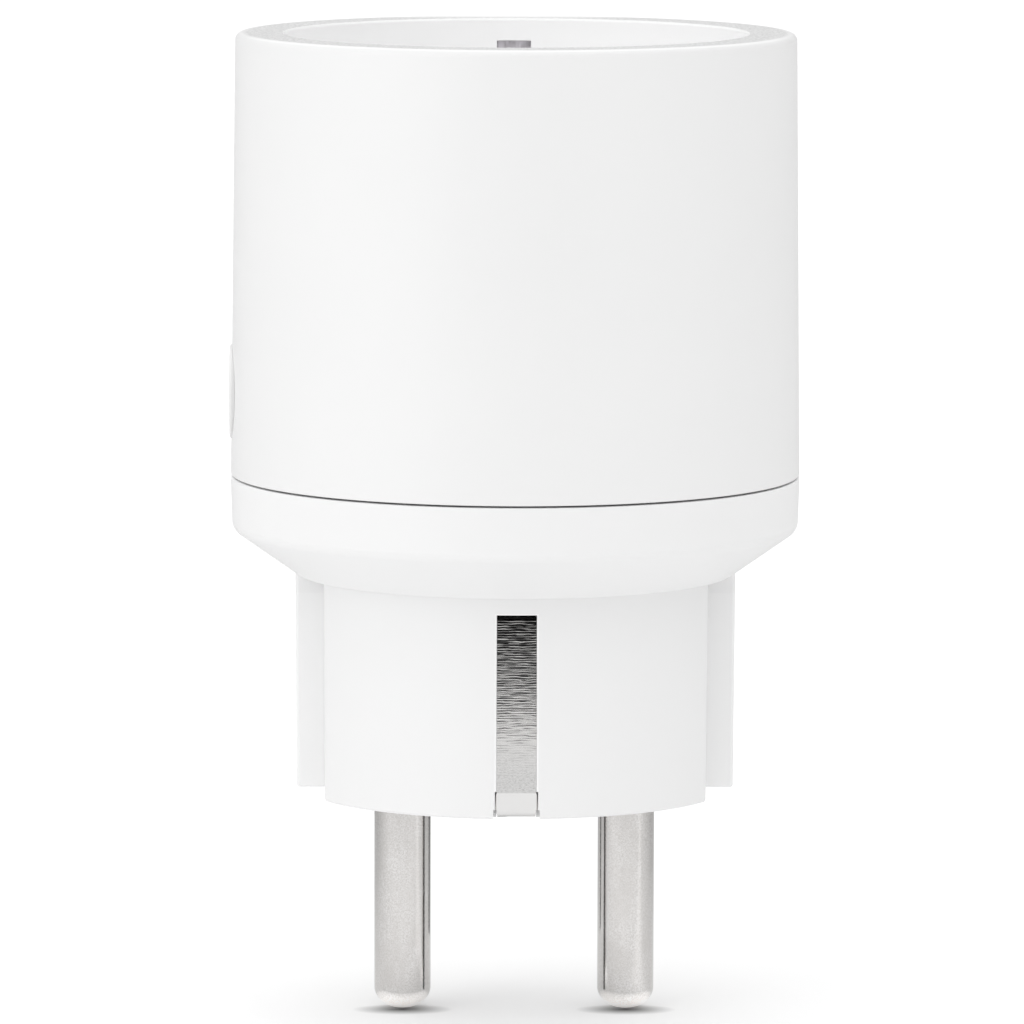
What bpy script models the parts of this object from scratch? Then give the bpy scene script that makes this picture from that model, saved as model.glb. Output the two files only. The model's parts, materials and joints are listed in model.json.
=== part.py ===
"""Plug-in power meter: a round smart plug for type F (CEE 7/4) outlets.

Frame: the origin is the centre of the plug face, where the two mains pins leave the body. +Z points
from the plug face to the socket on top, the pins lie in the XZ plane, and the push button is at -X.
Every length is in metres; MM turns the millimetres of the driving dimensions into metres.
"""

import math

import bmesh
import bpy
from mathutils import Matrix, Vector

MM = 0.001

# Heights along +Z
PIN_LENGTH = 19.0 * MM
CONE_FOOT_Z = 18.5 * MM
CONE_TOP_Z = 22.35 * MM
SEAM_Z = 26.8 * MM
SEAM_GAP = 0.16 * MM
RIM_Z = 64.2 * MM
SOCKET_DEPTH = 17.5 * MM
SOCKET_FLOOR_Z = RIM_Z - SOCKET_DEPTH
FLOOR_THICKNESS = 2.0 * MM
FLOOR_UNDERSIDE_Z = SOCKET_FLOOR_Z - FLOOR_THICKNESS

# Outer shells
RIM_RADIUS = 23.65 * MM
SEAM_RADIUS = 24.05 * MM
BAND_FOOT_RADIUS = 23.95 * MM
CONE_FOOT_RADIUS = 18.5 * MM
RIM_ROUNDING = 0.6 * MM
RIM_INNER_ROUNDING = 0.25 * MM
CONE_ROUNDING = 1.1 * MM
SLEEVE_INNER_RADIUS = 21.75 * MM
COLLAR_RADIUS = 21.45 * MM
COLLAR_INNER_RADIUS = 20.2 * MM
COLLAR_TOP_Z = SEAM_Z + 3.7 * MM
SNAP_BEAD = 0.15 * MM
SNAP_BEAD_Z = SEAM_Z + 2.2 * MM
SEAM_EDGE = 0.12 * MM
RIM_THICKNESS = 2.7 * MM

# Socket recess
SOCKET_RADIUS = 19.5 * MM
SOCKET_WALL = 1.4 * MM
GUIDE_RIB_WIDTH = 5.0 * MM
GUIDE_RIB_REACH = 16.7 * MM
GUIDE_RIB_TOP_Z = 59.0 * MM
PIN_HOLE_RADIUS = 2.75 * MM
PIN_HOLE_LEAD_RADIUS = 3.7 * MM
PIN_HOLE_LEAD_DEPTH = 0.9 * MM

# Plug body
PIN_SPACING = 19.0 * MM
PIN_RADIUS = 2.4 * MM
PIN_TIP_HEIGHT = 1.8 * MM
PIN_FIT = 0.12 * MM
PLUG_RADIUS = 18.05 * MM
PLUG_FLAT_X = 16.0 * MM
PLUG_RIB_X = 18.5 * MM
PLUG_RIB_INNER_Y = 3.0 * MM
PLUG_RIB_OUTER_Y = 4.6 * MM
PLUG_RIB_FOOT_Z = 0.65 * MM
PLUG_WALL = 1.8 * MM
PLUG_FACE_THICKNESS = 2.2 * MM
PLUG_DRAFT = math.radians(0.35)
NECK_TOP_Z = CONE_FOOT_Z + 1.2 * MM
PIN_TAIL_RADIUS = 1.2 * MM
PIN_TAIL_HOLE_RADIUS = 1.5 * MM
PIN_FLANGE_RADIUS = 3.4 * MM
PIN_FLANGE_TOP_Z = 4.6 * MM

# Earth contacts
PLUG_STRIP_WIDTH = 3.3 * MM
PLUG_SLOT_WIDTH = 3.55 * MM
PLUG_SLOT_TOP_Z = 17.1 * MM
PLUG_STRIP_Y = 17.45 * MM
PLUG_STRIP_TAIL_Y = 17.15 * MM
PLUG_STRIP_FOLD_Z = 2.2 * MM
PLUG_STRIP_BOW = 0.12 * MM
PLUG_SLOT_FLOOR_Y = 16.8 * MM
PLUG_CHANNEL_Y = 17.65 * MM
PLUG_POCKET_Y = 14.9 * MM
PLUG_POCKET_TOP_Z = 3.5 * MM
SOCKET_CLIP_WIDTH = 2.9 * MM
SOCKET_SLOT_WIDTH = 3.2 * MM
SOCKET_CLIP_TOP_Z = 62.4 * MM
SOCKET_CLIP_TAIL_Y = 18.6 * MM
SOCKET_SLOT_INNER_Y = 17.9 * MM
SOCKET_SLOT_OUTER_Y = 21.3 * MM
PLUG_STRIP_THICKNESS = 0.7 * MM
SOCKET_CLIP_THICKNESS = 0.6 * MM
BRIDGE_RADIUS = 16.2 * MM
BRIDGE_THICKNESS = 0.6 * MM

# Push button and the switch behind it
BUTTON_Z = 33.8 * MM
BUTTON_RADIUS = 4.0 * MM
BUTTON_FACE_X = -24.13 * MM
BUTTON_GAP = 0.15 * MM
BUTTON_FLANGE_RADIUS = 4.9 * MM
BUTTON_FLANGE_X = -20.85 * MM
BUTTON_FLANGE_THICKNESS = 0.5 * MM
SWITCH_SIZE = 6.0 * MM
SWITCH_OUTER_X = -18.9 * MM
PLUNGER_RADIUS = 1.7 * MM
PLUNGER_OUTER_X = -20.2 * MM
PLUNGER_INNER_X = -17.6 * MM

# Child-safety shutter
SHUTTER_TOP_Z = 44.4 * MM
SHUTTER_BOTTOM_Z = 42.5 * MM
SHUTTER_PAD_Z = 43.2 * MM
SHUTTER_PAD_HALF_ANGLE = math.radians(17.5)
SHUTTER_HUB_RADIUS = 4.2 * MM
SHUTTER_WING_RADIUS = 13.0 * MM
SHUTTER_POST_RADIUS = 1.6 * MM
COVER_TOP_Z = 42.2 * MM
COVER_THICKNESS = 1.2 * MM
COVER_RADIUS = 13.6 * MM
COVER_SCREW_Y = 10.5 * MM

# Circuit boards
MAIN_PCB_Z = 24.5 * MM
MAIN_PCB_THICKNESS = 1.6 * MM
MAIN_PCB_TOP_Z = MAIN_PCB_Z + MAIN_PCB_THICKNESS
MAIN_PCB_RADIUS = 19.8 * MM
CONTROL_PCB_X = -14.7 * MM
CONTROL_PCB_THICKNESS = 1.0 * MM
CONTROL_PCB_HALF_WIDTH = 8.5 * MM
CONTROL_PCB_TOP_Z = 42.8 * MM
PCB_NOTCH_HALF_WIDTH = 2.3 * MM
PCB_NOTCH_Y = 16.4 * MM
ASSEMBLY_GAP = 0.3 * MM
ON_BOARD_Z = MAIN_PCB_TOP_Z + ASSEMBLY_GAP
UNDER_BOARD_Z = MAIN_PCB_Z - ASSEMBLY_GAP
BRIDGE_BOTTOM_Z = MAIN_PCB_TOP_Z + 2.6 * MM
BRIDGE_TOP_Z = MAIN_PCB_TOP_Z + 6.2 * MM

# Screws and their bosses
PCB_SCREW_X = 13.4 * MM
PCB_SCREW_Y = 11.4 * MM
RETAINER_RADIUS = 12.6 * MM
RETAINER_FLAT_X = 12.5 * MM
RETAINER_SCREW_Y = 9.0 * MM
RETAINER_THICKNESS = 1.6 * MM
RETAINER_Z = PIN_FLANGE_TOP_Z + ASSEMBLY_GAP
SCREW_HEAD_RADIUS = 1.9 * MM
SCREW_HEAD_HEIGHT = 1.2 * MM
SCREW_SHAFT_RADIUS = 0.85 * MM
SCREW_HOLE_RADIUS = 1.2 * MM
PILOT_RADIUS = 1.1 * MM
BOSS_RADIUS = 2.2 * MM
RETAINER_BOSS_RADIUS = 2.6 * MM

# Relay under the main board
RELAY_LENGTH = 17.6 * MM
RELAY_WIDTH = 10.0 * MM
RELAY_Y = 7.7 * MM
RELAY_BOTTOM_Z = 9.0 * MM
RELAY_WALL = 0.8 * MM
RELAY_BASE_THICKNESS = 1.2 * MM
COIL_X = -1.2 * MM
COIL_Z = 16.5 * MM
YOKE_HALF_WIDTH = 3.3 * MM
YOKE_BACK_X = -7.4 * MM
YOKE_FRONT_X = 5.2 * MM
YOKE_BOTTOM_Z = 10.5 * MM
YOKE_TOP_Z = 20.0 * MM
YOKE_THICKNESS = 0.8 * MM
ARMATURE_PIVOT_X = 4.8 * MM
ARMATURE_PIVOT_Z = 11.6 * MM
ARMATURE_HALF_WIDTH = 3.1 * MM
ARMATURE_TOP_Z = 20.4 * MM

# Blocks on the main board: from x, from y, to x, to y, height
FILM_CAPACITOR = (-4.8 * MM, 7.4 * MM, 4.8 * MM, 12.0 * MM, 9.5 * MM)
FUSE = (-2.2 * MM, -2.4 * MM, 2.2 * MM, 1.6 * MM, 7.5 * MM)
RADIO_MODULE = (-5.5 * MM, -15.0 * MM, 5.5 * MM, -4.6 * MM, 0.8 * MM)
RADIO_SHIELD = (-4.6 * MM, -12.0 * MM, 4.6 * MM, -5.2 * MM, 2.0 * MM)
METERING_CHIP = (6.8 * MM, 4.6 * MM, 11.8 * MM, 8.5 * MM, 1.5 * MM)
VOLTAGE_REGULATOR = (-12.2 * MM, 6.8 * MM, -8.0 * MM, 10.3 * MM, 1.6 * MM)

# Other components: the round ones as radius, height, x, y
BRIDGE_RECTIFIER = (0.2 * MM, -6.0 * MM, 4.4 * MM, -2.4 * MM, 2.4 * MM)
BULK_CAPACITOR = (4.0 * MM, 12.0 * MM, -4.6 * MM, -8.6 * MM)
OUTPUT_CAPACITOR = (3.15 * MM, 9.0 * MM, 8.2 * MM, -8.0 * MM)
FILTER_INDUCTOR = (2.5 * MM, 7.0 * MM, 1.9 * MM, -12.6 * MM)
VARISTOR_Y = 4.3 * MM
SHUNT_X = 9.6 * MM
SHUNT_Y = -8.0 * MM

# Facets around a full circle
SHELL_STEPS = 72
PIN_STEPS = 32
SMALL_STEPS = 24

PART_COLLECTION = "plug_in_power_meter"
CUTTER_COLLECTION = "cutters"
MERGE_DISTANCE = 0.000001


# ---------------------------------------------------------------- scene and materials


def clear_scene():
    """Remove every object, and the collections that an earlier run left."""
    for obj in list(bpy.data.objects):
        bpy.data.objects.remove(obj, do_unlink=True)
    for name in (PART_COLLECTION, CUTTER_COLLECTION):
        old = bpy.data.collections.get(name)
        if old:
            bpy.data.collections.remove(old)
        bpy.context.scene.collection.children.link(bpy.data.collections.new(name))


def make_material(name, colour, roughness, metallic=0.0):
    """A Principled material of one colour, given as linear red, green and blue."""
    material = bpy.data.materials.new(name)
    material.use_nodes = True
    shader = material.node_tree.nodes["Principled BSDF"]
    shader.inputs["Base Color"].default_value = (*colour, 1.0)
    shader.inputs["Roughness"].default_value = roughness
    shader.inputs["Metallic"].default_value = metallic
    return material


def add_part(name, mesh, material):
    """Put a mesh in the model as a visible part, with smooth round surfaces."""
    obj = bpy.data.objects.new(name, mesh)
    bpy.data.collections[PART_COLLECTION].objects.link(obj)
    mesh.materials.append(material)
    mesh.shade_smooth()
    mesh.set_sharp_from_angle(angle=math.radians(35))
    return obj


def as_tool(obj):
    """Turn an object into a hidden tool that only serves a Boolean."""
    for collection in list(obj.users_collection):
        collection.objects.unlink(obj)
    bpy.data.collections[CUTTER_COLLECTION].objects.link(obj)
    obj.hide_render = True
    obj.display_type = "WIRE"
    return obj


# ---------------------------------------------------------------- basic shapes


def box(name, size, centre, material=None):
    """A rectangular block with the given full size and centre."""
    mesh = bpy.data.meshes.new(name)
    shape = bmesh.new()
    bmesh.ops.create_cube(shape, size=1.0)
    bmesh.ops.scale(shape, vec=Vector(size), verts=shape.verts)
    shape.to_mesh(mesh)
    shape.free()
    return place(name, mesh, centre, material)


def block(name, low, high, material=None):
    """A rectangular block between two opposite corners."""
    low, high = Vector(low), Vector(high)
    return box(name, high - low, (low + high) / 2, material)


def rod(name, radius, low, high, material=None, steps=SMALL_STEPS):
    """A cylinder between two points."""
    low, high = Vector(low), Vector(high)
    mesh = bpy.data.meshes.new(name)
    shape = bmesh.new()
    bmesh.ops.create_cone(
        shape,
        cap_ends=True,
        segments=steps,
        radius1=radius,
        radius2=radius,
        depth=(high - low).length,
    )
    shape.to_mesh(mesh)
    shape.free()
    obj = place(name, mesh, (low + high) / 2, material)
    obj.rotation_euler = (high - low).to_track_quat("Z", "Y").to_euler()
    return obj


def place(name, mesh, centre, material):
    """Add a mesh as a part when it has a material, and as a hidden tool when it has none."""
    if material:
        obj = add_part(name, mesh, material)
    else:
        obj = bpy.data.objects.new(name, mesh)
        as_tool(obj)
    obj.location = centre
    return obj


def turned(name, profile, material=None, centre=(0, 0, 0), steps=SMALL_STEPS, closed=False):
    """A solid of revolution about local Z from (radius, height) points that run down its outer side."""
    mesh = bpy.data.meshes.new(name)
    points = [(radius, 0.0, height) for radius, height in profile]
    edges = [(i, i + 1) for i in range(len(points) - 1)]
    if closed:
        edges.append((len(points) - 1, 0))
    mesh.from_pydata(points, edges, [])
    obj = place(name, mesh, centre, material)
    screw = obj.modifiers.new("revolve", "SCREW")
    screw.axis = "Z"
    screw.angle = math.tau
    screw.steps = steps
    screw.render_steps = steps
    screw.use_smooth_shade = True
    screw.use_merge_vertices = True
    screw.merge_threshold = MERGE_DISTANCE
    return obj


def mesh_from_curve(curve_obj, name, material):
    """Replace a curve object by its closed mesh, so that Booleans can use it."""
    depsgraph = bpy.context.evaluated_depsgraph_get()
    mesh = bpy.data.meshes.new_from_object(curve_obj.evaluated_get(depsgraph))
    shape = bmesh.new()
    shape.from_mesh(mesh)
    bmesh.ops.remove_doubles(shape, verts=shape.verts, dist=MERGE_DISTANCE)
    bmesh.ops.recalc_face_normals(shape, faces=shape.faces)
    shape.to_mesh(mesh)
    shape.free()
    mesh.materials.clear()
    obj = place(name, mesh, (0, 0, 0), material)
    obj.matrix_world = curve_obj.matrix_world.copy()
    curve = curve_obj.data
    bpy.data.objects.remove(curve_obj, do_unlink=True)
    bpy.data.curves.remove(curve)
    return obj


def plate(name, outlines, low_z, high_z, material=None):
    """A flat plate from closed outlines of (x, y) points: the first is the edge, the others are holes."""
    curve = bpy.data.curves.new(name, "CURVE")
    curve.dimensions = "2D"
    curve.fill_mode = "BOTH"
    curve.extrude = (high_z - low_z) / 2
    for outline in outlines:
        spline = curve.splines.new("POLY")
        spline.points.add(len(outline) - 1)
        for point, (x, y) in zip(spline.points, outline):
            point.co = (x, y, 0.0, 1.0)
        spline.use_cyclic_u = True
    obj = bpy.data.objects.new(name + "_outline", curve)
    bpy.context.scene.collection.objects.link(obj)
    obj.location = (0, 0, (low_z + high_z) / 2)
    bpy.context.view_layer.update()
    return mesh_from_curve(obj, name, material)


def wire(name, points, radius, material):
    """A round wire along straight pieces between the points."""
    curve = bpy.data.curves.new(name, "CURVE")
    curve.dimensions = "3D"
    curve.bevel_depth = radius
    curve.bevel_resolution = 2
    curve.use_fill_caps = True
    spline = curve.splines.new("POLY")
    spline.points.add(len(points) - 1)
    for point, position in zip(spline.points, points):
        point.co = (*position, 1.0)
    obj = bpy.data.objects.new(name + "_path", curve)
    bpy.context.scene.collection.objects.link(obj)
    bpy.context.view_layer.update()
    return mesh_from_curve(obj, name, material)


def bent_strip(name, profile, width, thickness, material, turn=0.0):
    """Sheet metal bent along (y, z) points and as wide as width in X, turned about Z by turn."""
    mesh = bpy.data.meshes.new(name)
    half = width / 2
    points = [(x, y, z) for y, z in profile for x in (-half, half)]
    faces = [(2 * i, 2 * i + 1, 2 * i + 3, 2 * i + 2) for i in range(len(profile) - 1)]
    mesh.from_pydata(points, [], faces)
    obj = add_part(name, mesh, material)
    obj.rotation_euler = (0, 0, turn)
    sheet = obj.modifiers.new("thickness", "SOLIDIFY")
    sheet.thickness = thickness
    sheet.offset = 0.0
    sheet.use_even_offset = True
    return obj


def arc(centre, radius, start, end, count):
    """Points along a circular arc, angles in degrees, both ends included."""
    points = []
    for i in range(count):
        angle = math.radians(start + (end - start) * i / (count - 1))
        points.append((centre[0] + radius * math.cos(angle), centre[1] + radius * math.sin(angle)))
    return points


def circle(centre, radius, steps=SMALL_STEPS):
    """Points around a full circle, without a repeated last point."""
    return arc(centre, radius, 0, 360 - 360 / steps, steps)


def boolean(obj, operation, tools):
    """Cut tools out of obj (DIFFERENCE) or join them to it (UNION)."""
    for tool in tools:
        step = obj.modifiers.new(operation.lower() + "_" + tool.name, "BOOLEAN")
        step.operation = operation
        step.solver = "EXACT"
        step.object = as_tool(tool)
    return obj


def cut(obj, *tools):
    """Remove the tools' volume from obj."""
    return boolean(obj, "DIFFERENCE", tools)


def join(obj, *tools):
    """Add the tools' volume to obj."""
    return boolean(obj, "UNION", tools)


def soften(obj, width, segments=1):
    """Round off the sharp edges of a block or strip."""
    bevel = obj.modifiers.new("edges", "BEVEL")
    bevel.width = width
    bevel.segments = segments
    bevel.limit_method = "ANGLE"
    return obj


# ---------------------------------------------------------------- outer shells


def upper_housing(white):
    """Sleeve, rim, socket recess and recess floor in one moulding."""
    foot_z = SEAM_Z + SEAM_GAP / 2
    under_rim_z = RIM_Z - RIM_THICKNESS
    well_radius = SOCKET_RADIUS + SOCKET_WALL
    half_groove = 0.35 * MM
    draft = 0.15 * MM
    rim = (RIM_RADIUS - RIM_ROUNDING, RIM_Z - RIM_ROUNDING)
    lip = (SOCKET_RADIUS + RIM_INNER_ROUNDING, RIM_Z - RIM_INNER_ROUNDING)
    profile = [(0, SOCKET_FLOOR_Z), (SOCKET_RADIUS, SOCKET_FLOOR_Z)]
    profile += arc(lip, RIM_INNER_ROUNDING, 180, 90, 3)
    profile += arc(rim, RIM_ROUNDING, 90, 0, 5)
    profile += [
        (SEAM_RADIUS, foot_z + SEAM_EDGE),
        (SEAM_RADIUS - SEAM_EDGE, foot_z),
        (SLEEVE_INNER_RADIUS, foot_z),
        (SLEEVE_INNER_RADIUS, SNAP_BEAD_Z - half_groove),
        (SLEEVE_INNER_RADIUS + SNAP_BEAD, SNAP_BEAD_Z),
        (SLEEVE_INNER_RADIUS, SNAP_BEAD_Z + half_groove),
        (SLEEVE_INNER_RADIUS - draft, under_rim_z),
        (well_radius, under_rim_z),
        (well_radius, FLOOR_UNDERSIDE_Z),
        (0, FLOOR_UNDERSIDE_Z),
    ]
    shell = turned("upper_housing", profile, white, steps=SHELL_STEPS)
    join(shell, *guide_ribs(), *shutter_bosses())
    cut(shell, *socket_pin_holes(), *socket_clip_slots(), button_hole(), *shutter_pilot_holes())
    return shell


def guide_ribs():
    """The two ribs of the recess wall that guide the plug."""
    ribs = []
    for side in (-1, 1):
        near = side * GUIDE_RIB_REACH
        far = side * (SOCKET_RADIUS + SOCKET_WALL / 2)
        low = (min(near, far), -GUIDE_RIB_WIDTH / 2, SOCKET_FLOOR_Z - FLOOR_THICKNESS / 2)
        high = (max(near, far), GUIDE_RIB_WIDTH / 2, GUIDE_RIB_TOP_Z)
        rib = block("guide_rib", low, high)
        ribs.append(soften(rib, 0.4 * MM, 2))
    return ribs


def shutter_bosses():
    """The shutter's pivot post and the two screw bosses under the recess floor."""
    overlap_z = FLOOR_UNDERSIDE_Z + 0.5 * MM
    post_z = COVER_TOP_Z - 0.9 * MM
    post = rod("shutter_post", SHUTTER_POST_RADIUS, (0, 0, post_z), (0, 0, overlap_z))
    bosses = [post]
    for side in (-1, 1):
        y = side * COVER_SCREW_Y
        low = (0, y, COVER_TOP_Z + ASSEMBLY_GAP)
        bosses.append(rod("cover_boss", BOSS_RADIUS, low, (0, y, overlap_z)))
    return bosses


def shutter_pilot_holes():
    """Holes in the screw bosses for the two cover screws."""
    holes = []
    for side in (-1, 1):
        y = side * COVER_SCREW_Y
        low = (0, y, COVER_TOP_Z - 0.1 * MM)
        holes.append(rod("cover_pilot", PILOT_RADIUS, low, (0, y, FLOOR_UNDERSIDE_Z + 0.4 * MM)))
    return holes


def socket_pin_holes():
    """Two holes in the recess floor, each with a cone-shaped lead-in."""
    above_z = SOCKET_FLOOR_Z + 1 * MM
    below_z = FLOOR_UNDERSIDE_Z - 1 * MM
    profile = [
        (0, above_z),
        (PIN_HOLE_LEAD_RADIUS, above_z),
        (PIN_HOLE_LEAD_RADIUS, SOCKET_FLOOR_Z),
        (PIN_HOLE_RADIUS, SOCKET_FLOOR_Z - PIN_HOLE_LEAD_DEPTH),
        (PIN_HOLE_RADIUS, below_z),
        (0, below_z),
    ]
    places = [(side * PIN_SPACING / 2, 0, 0) for side in (-1, 1)]
    return [turned("socket_pin_hole", profile, centre=place_at) for place_at in places]


def socket_clip_slots():
    """Slots through the recess wall and floor for the two socket earth clips."""
    slots = []
    half = SOCKET_SLOT_WIDTH / 2
    for side in (-1, 1):
        near, far = sorted((side * SOCKET_SLOT_INNER_Y, side * SOCKET_SLOT_OUTER_Y))
        low = (-half, near, FLOOR_UNDERSIDE_Z - 1 * MM)
        high = (half, far, SOCKET_CLIP_TOP_Z + 0.15 * MM)
        slots.append(block("clip_slot", low, high))
    return slots


def button_hole():
    """The round hole in the sleeve for the push button."""
    radius = BUTTON_RADIUS + BUTTON_GAP
    return rod("button_hole", radius, (-26 * MM, 0, BUTTON_Z), (-21 * MM, 0, BUTTON_Z), steps=48)


def plug_outline(radius, flat_x):
    """The plug body's cross-section: two arcs joined by flats at +X and -X."""
    end = math.degrees(math.asin(flat_x / radius))
    front = arc((0, 0), radius, 270 - end, 270 + end, 19)
    rear = arc((0, 0), radius, 90 - end, 90 + end, 19)
    return front + rear


def widen_upwards(obj, top_z):
    """Give a prism the mould's draft: its sides lean out by PLUG_DRAFT up to top_z."""
    for vertex in obj.data.vertices:
        height = obj.location.z + vertex.co.z
        growth = 1.0 + math.tan(PLUG_DRAFT) * min(height, top_z) / PLUG_RADIUS
        vertex.co.x *= growth
        vertex.co.y *= growth
    return obj


def plug_body():
    """The prism below the cone and its four side ribs, which start a little above the plug face."""
    core = plate("plug_core", [plug_outline(PLUG_RADIUS, PLUG_FLAT_X)], 0, NECK_TOP_Z)
    prisms = [core]
    for side in (-1, 1):
        for end in (-1, 1):
            root_x, rib_x = side * (PLUG_FLAT_X - 0.9 * MM), side * PLUG_RIB_X
            near_y, far_y = end * PLUG_RIB_INNER_Y, end * PLUG_RIB_OUTER_Y
            outline = [(root_x, near_y), (rib_x, near_y), (rib_x, far_y), (root_x, far_y)]
            prisms.append(plate("plug_rib", [outline], PLUG_RIB_FOOT_Z, NECK_TOP_Z - 0.3 * MM))
    for prism in prisms:
        widen_upwards(prism, NECK_TOP_Z)
        soften(prism, 0.25 * MM, 2)
    return prisms


def lower_housing(white):
    """Band, cone and plug body in one moulding, open at the top."""
    band_top_z = SEAM_Z - SEAM_GAP / 2
    half_bead = 0.3 * MM
    slope = math.atan2(CONE_TOP_Z - CONE_FOOT_Z, BAND_FOOT_RADIUS - CONE_FOOT_RADIUS)
    setback = CONE_ROUNDING * math.tan((math.pi / 2 - slope) / 2)
    corner = (BAND_FOOT_RADIUS - CONE_ROUNDING, CONE_TOP_Z + setback)
    profile = [
        (0, COLLAR_TOP_Z),
        (COLLAR_RADIUS - 0.3 * MM, COLLAR_TOP_Z),
        (COLLAR_RADIUS, COLLAR_TOP_Z - 0.4 * MM),
        (COLLAR_RADIUS, SNAP_BEAD_Z + half_bead),
        (COLLAR_RADIUS + SNAP_BEAD, SNAP_BEAD_Z),
        (COLLAR_RADIUS, SNAP_BEAD_Z - half_bead),
        (COLLAR_RADIUS, band_top_z),
        (SEAM_RADIUS - SEAM_EDGE, band_top_z),
        (SEAM_RADIUS, band_top_z - SEAM_EDGE),
    ]
    profile += arc(corner, CONE_ROUNDING, 0, math.degrees(slope) - 90, 5)
    profile += [(CONE_FOOT_RADIUS, CONE_FOOT_Z), (0, CONE_FOOT_Z)]
    shell = turned("lower_housing", profile, white, steps=SHELL_STEPS)
    join(shell, *plug_body())
    cut(shell, *lower_cavity())
    join(shell, *lower_bosses())
    cut(shell, *lower_holes())
    return shell


def lower_cavity():
    """The hollow of the lower shell: a wide part at the collar and a narrow part in the plug body."""
    above_z = COLLAR_TOP_Z + 1 * MM
    neck_radius = PLUG_RADIUS - PLUG_WALL
    wide = [
        (0, above_z),
        (COLLAR_INNER_RADIUS, above_z),
        (COLLAR_INNER_RADIUS, CONE_TOP_Z + 0.4 * MM),
        (neck_radius + 0.2 * MM, NECK_TOP_Z),
        (0, NECK_TOP_Z),
    ]
    neck = plug_outline(neck_radius, PLUG_FLAT_X - PLUG_WALL)
    return (
        turned("wide_cavity", wide, steps=SHELL_STEPS),
        plate("neck_cavity", [neck], PLUG_FACE_THICKNESS, NECK_TOP_Z + 0.8 * MM),
    )


def lower_bosses():
    """Screw bosses for the main board and for the pin retainer."""
    bosses = []
    for side in (-1, 1):
        x, y = side * PCB_SCREW_X, side * PCB_SCREW_Y
        top = (x, y, UNDER_BOARD_Z)
        bosses.append(rod("board_boss", BOSS_RADIUS, (x, y, NECK_TOP_Z + 0.1 * MM), top))
        y = side * RETAINER_SCREW_Y
        low, top = (0, y, PLUG_FACE_THICKNESS - 0.6 * MM), (0, y, PIN_FLANGE_TOP_Z)
        bosses.append(rod("retainer_boss", RETAINER_BOSS_RADIUS, low, top))
    return bosses


def lower_holes():
    """Pin bores, earth strip slots, the screws' pilot holes and the notch under the button's flange."""
    notch_half = BUTTON_FLANGE_RADIUS + 0.5 * MM
    low = (-23 * MM, -notch_half, BUTTON_Z - notch_half)
    holes = [block("flange_notch", low, (-18 * MM, notch_half, BUTTON_Z))]
    half = PLUG_SLOT_WIDTH / 2
    beyond_y = PLUG_RADIUS + 1.5 * MM
    for side in (-1, 1):
        x = side * PIN_SPACING / 2
        holes.append(rod("pin_bore", PIN_RADIUS + PIN_FIT, (x, 0, -1 * MM), (x, 0, 3 * MM), steps=PIN_STEPS))
        near, far = sorted((side * PLUG_SLOT_FLOOR_Y, side * beyond_y))
        holes.append(block("strip_slot", (-half, near, -1 * MM), (half, far, PLUG_SLOT_TOP_Z)))
        near, far = sorted((side * PLUG_POCKET_Y, side * (PLUG_SLOT_FLOOR_Y + 0.1 * MM)))
        holes.append(block("strip_pocket", (-half, near, -1 * MM), (half, far, PLUG_POCKET_TOP_Z)))
        near, far = sorted((side * PLUG_POCKET_Y, side * PLUG_CHANNEL_Y))
        low = (-half, near, PLUG_SLOT_TOP_Z - 0.5 * MM)
        holes.append(block("strip_channel", low, (half, far, CONE_TOP_Z + 1 * MM)))
        x, y = side * PCB_SCREW_X, side * PCB_SCREW_Y
        low = (x, y, NECK_TOP_Z + 1.1 * MM)
        holes.append(rod("board_pilot", PILOT_RADIUS, low, (x, y, MAIN_PCB_Z)))
        low, top = (0, side * RETAINER_SCREW_Y, 1.3 * MM), (0, side * RETAINER_SCREW_Y, 5 * MM)
        holes.append(rod("retainer_pilot", PILOT_RADIUS, low, top))
    return holes


# ---------------------------------------------------------------- mains pins and earth


def mains_pin(name, side, metal):
    """A solid pin with a rounded tip, a flange inside the plug face and a tail up to the board."""
    flange_z = PLUG_FACE_THICKNESS + ASSEMBLY_GAP
    tail_z = MAIN_PCB_TOP_Z + 0.2 * MM
    profile = [
        (0, tail_z),
        (PIN_TAIL_RADIUS, tail_z),
        (PIN_TAIL_RADIUS, PIN_FLANGE_TOP_Z),
        (PIN_FLANGE_RADIUS, PIN_FLANGE_TOP_Z),
        (PIN_FLANGE_RADIUS, flange_z),
        (PIN_RADIUS, flange_z),
    ]
    shoulder_z = PIN_TIP_HEIGHT - PIN_LENGTH
    rings = 6
    for i in range(rings):
        angle = math.pi / 2 * i / rings
        profile.append((PIN_RADIUS * math.cos(angle), shoulder_z - PIN_TIP_HEIGHT * math.sin(angle)))
    profile.append((0, -PIN_LENGTH))
    return turned(name, profile, metal, (side * PIN_SPACING / 2, 0, 0), PIN_STEPS)


def pin_retainer(plastic):
    """The plate that holds both pins' flanges against the plug face."""
    outline = plug_outline(RETAINER_RADIUS, RETAINER_FLAT_X)
    holes = [circle((side * PIN_SPACING / 2, 0), PIN_TAIL_HOLE_RADIUS) for side in (-1, 1)]
    holes += [circle((0, side * RETAINER_SCREW_Y), SCREW_HOLE_RADIUS) for side in (-1, 1)]
    return plate("pin_retainer", [outline] + holes, RETAINER_Z, RETAINER_Z + RETAINER_THICKNESS, plastic)


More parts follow.
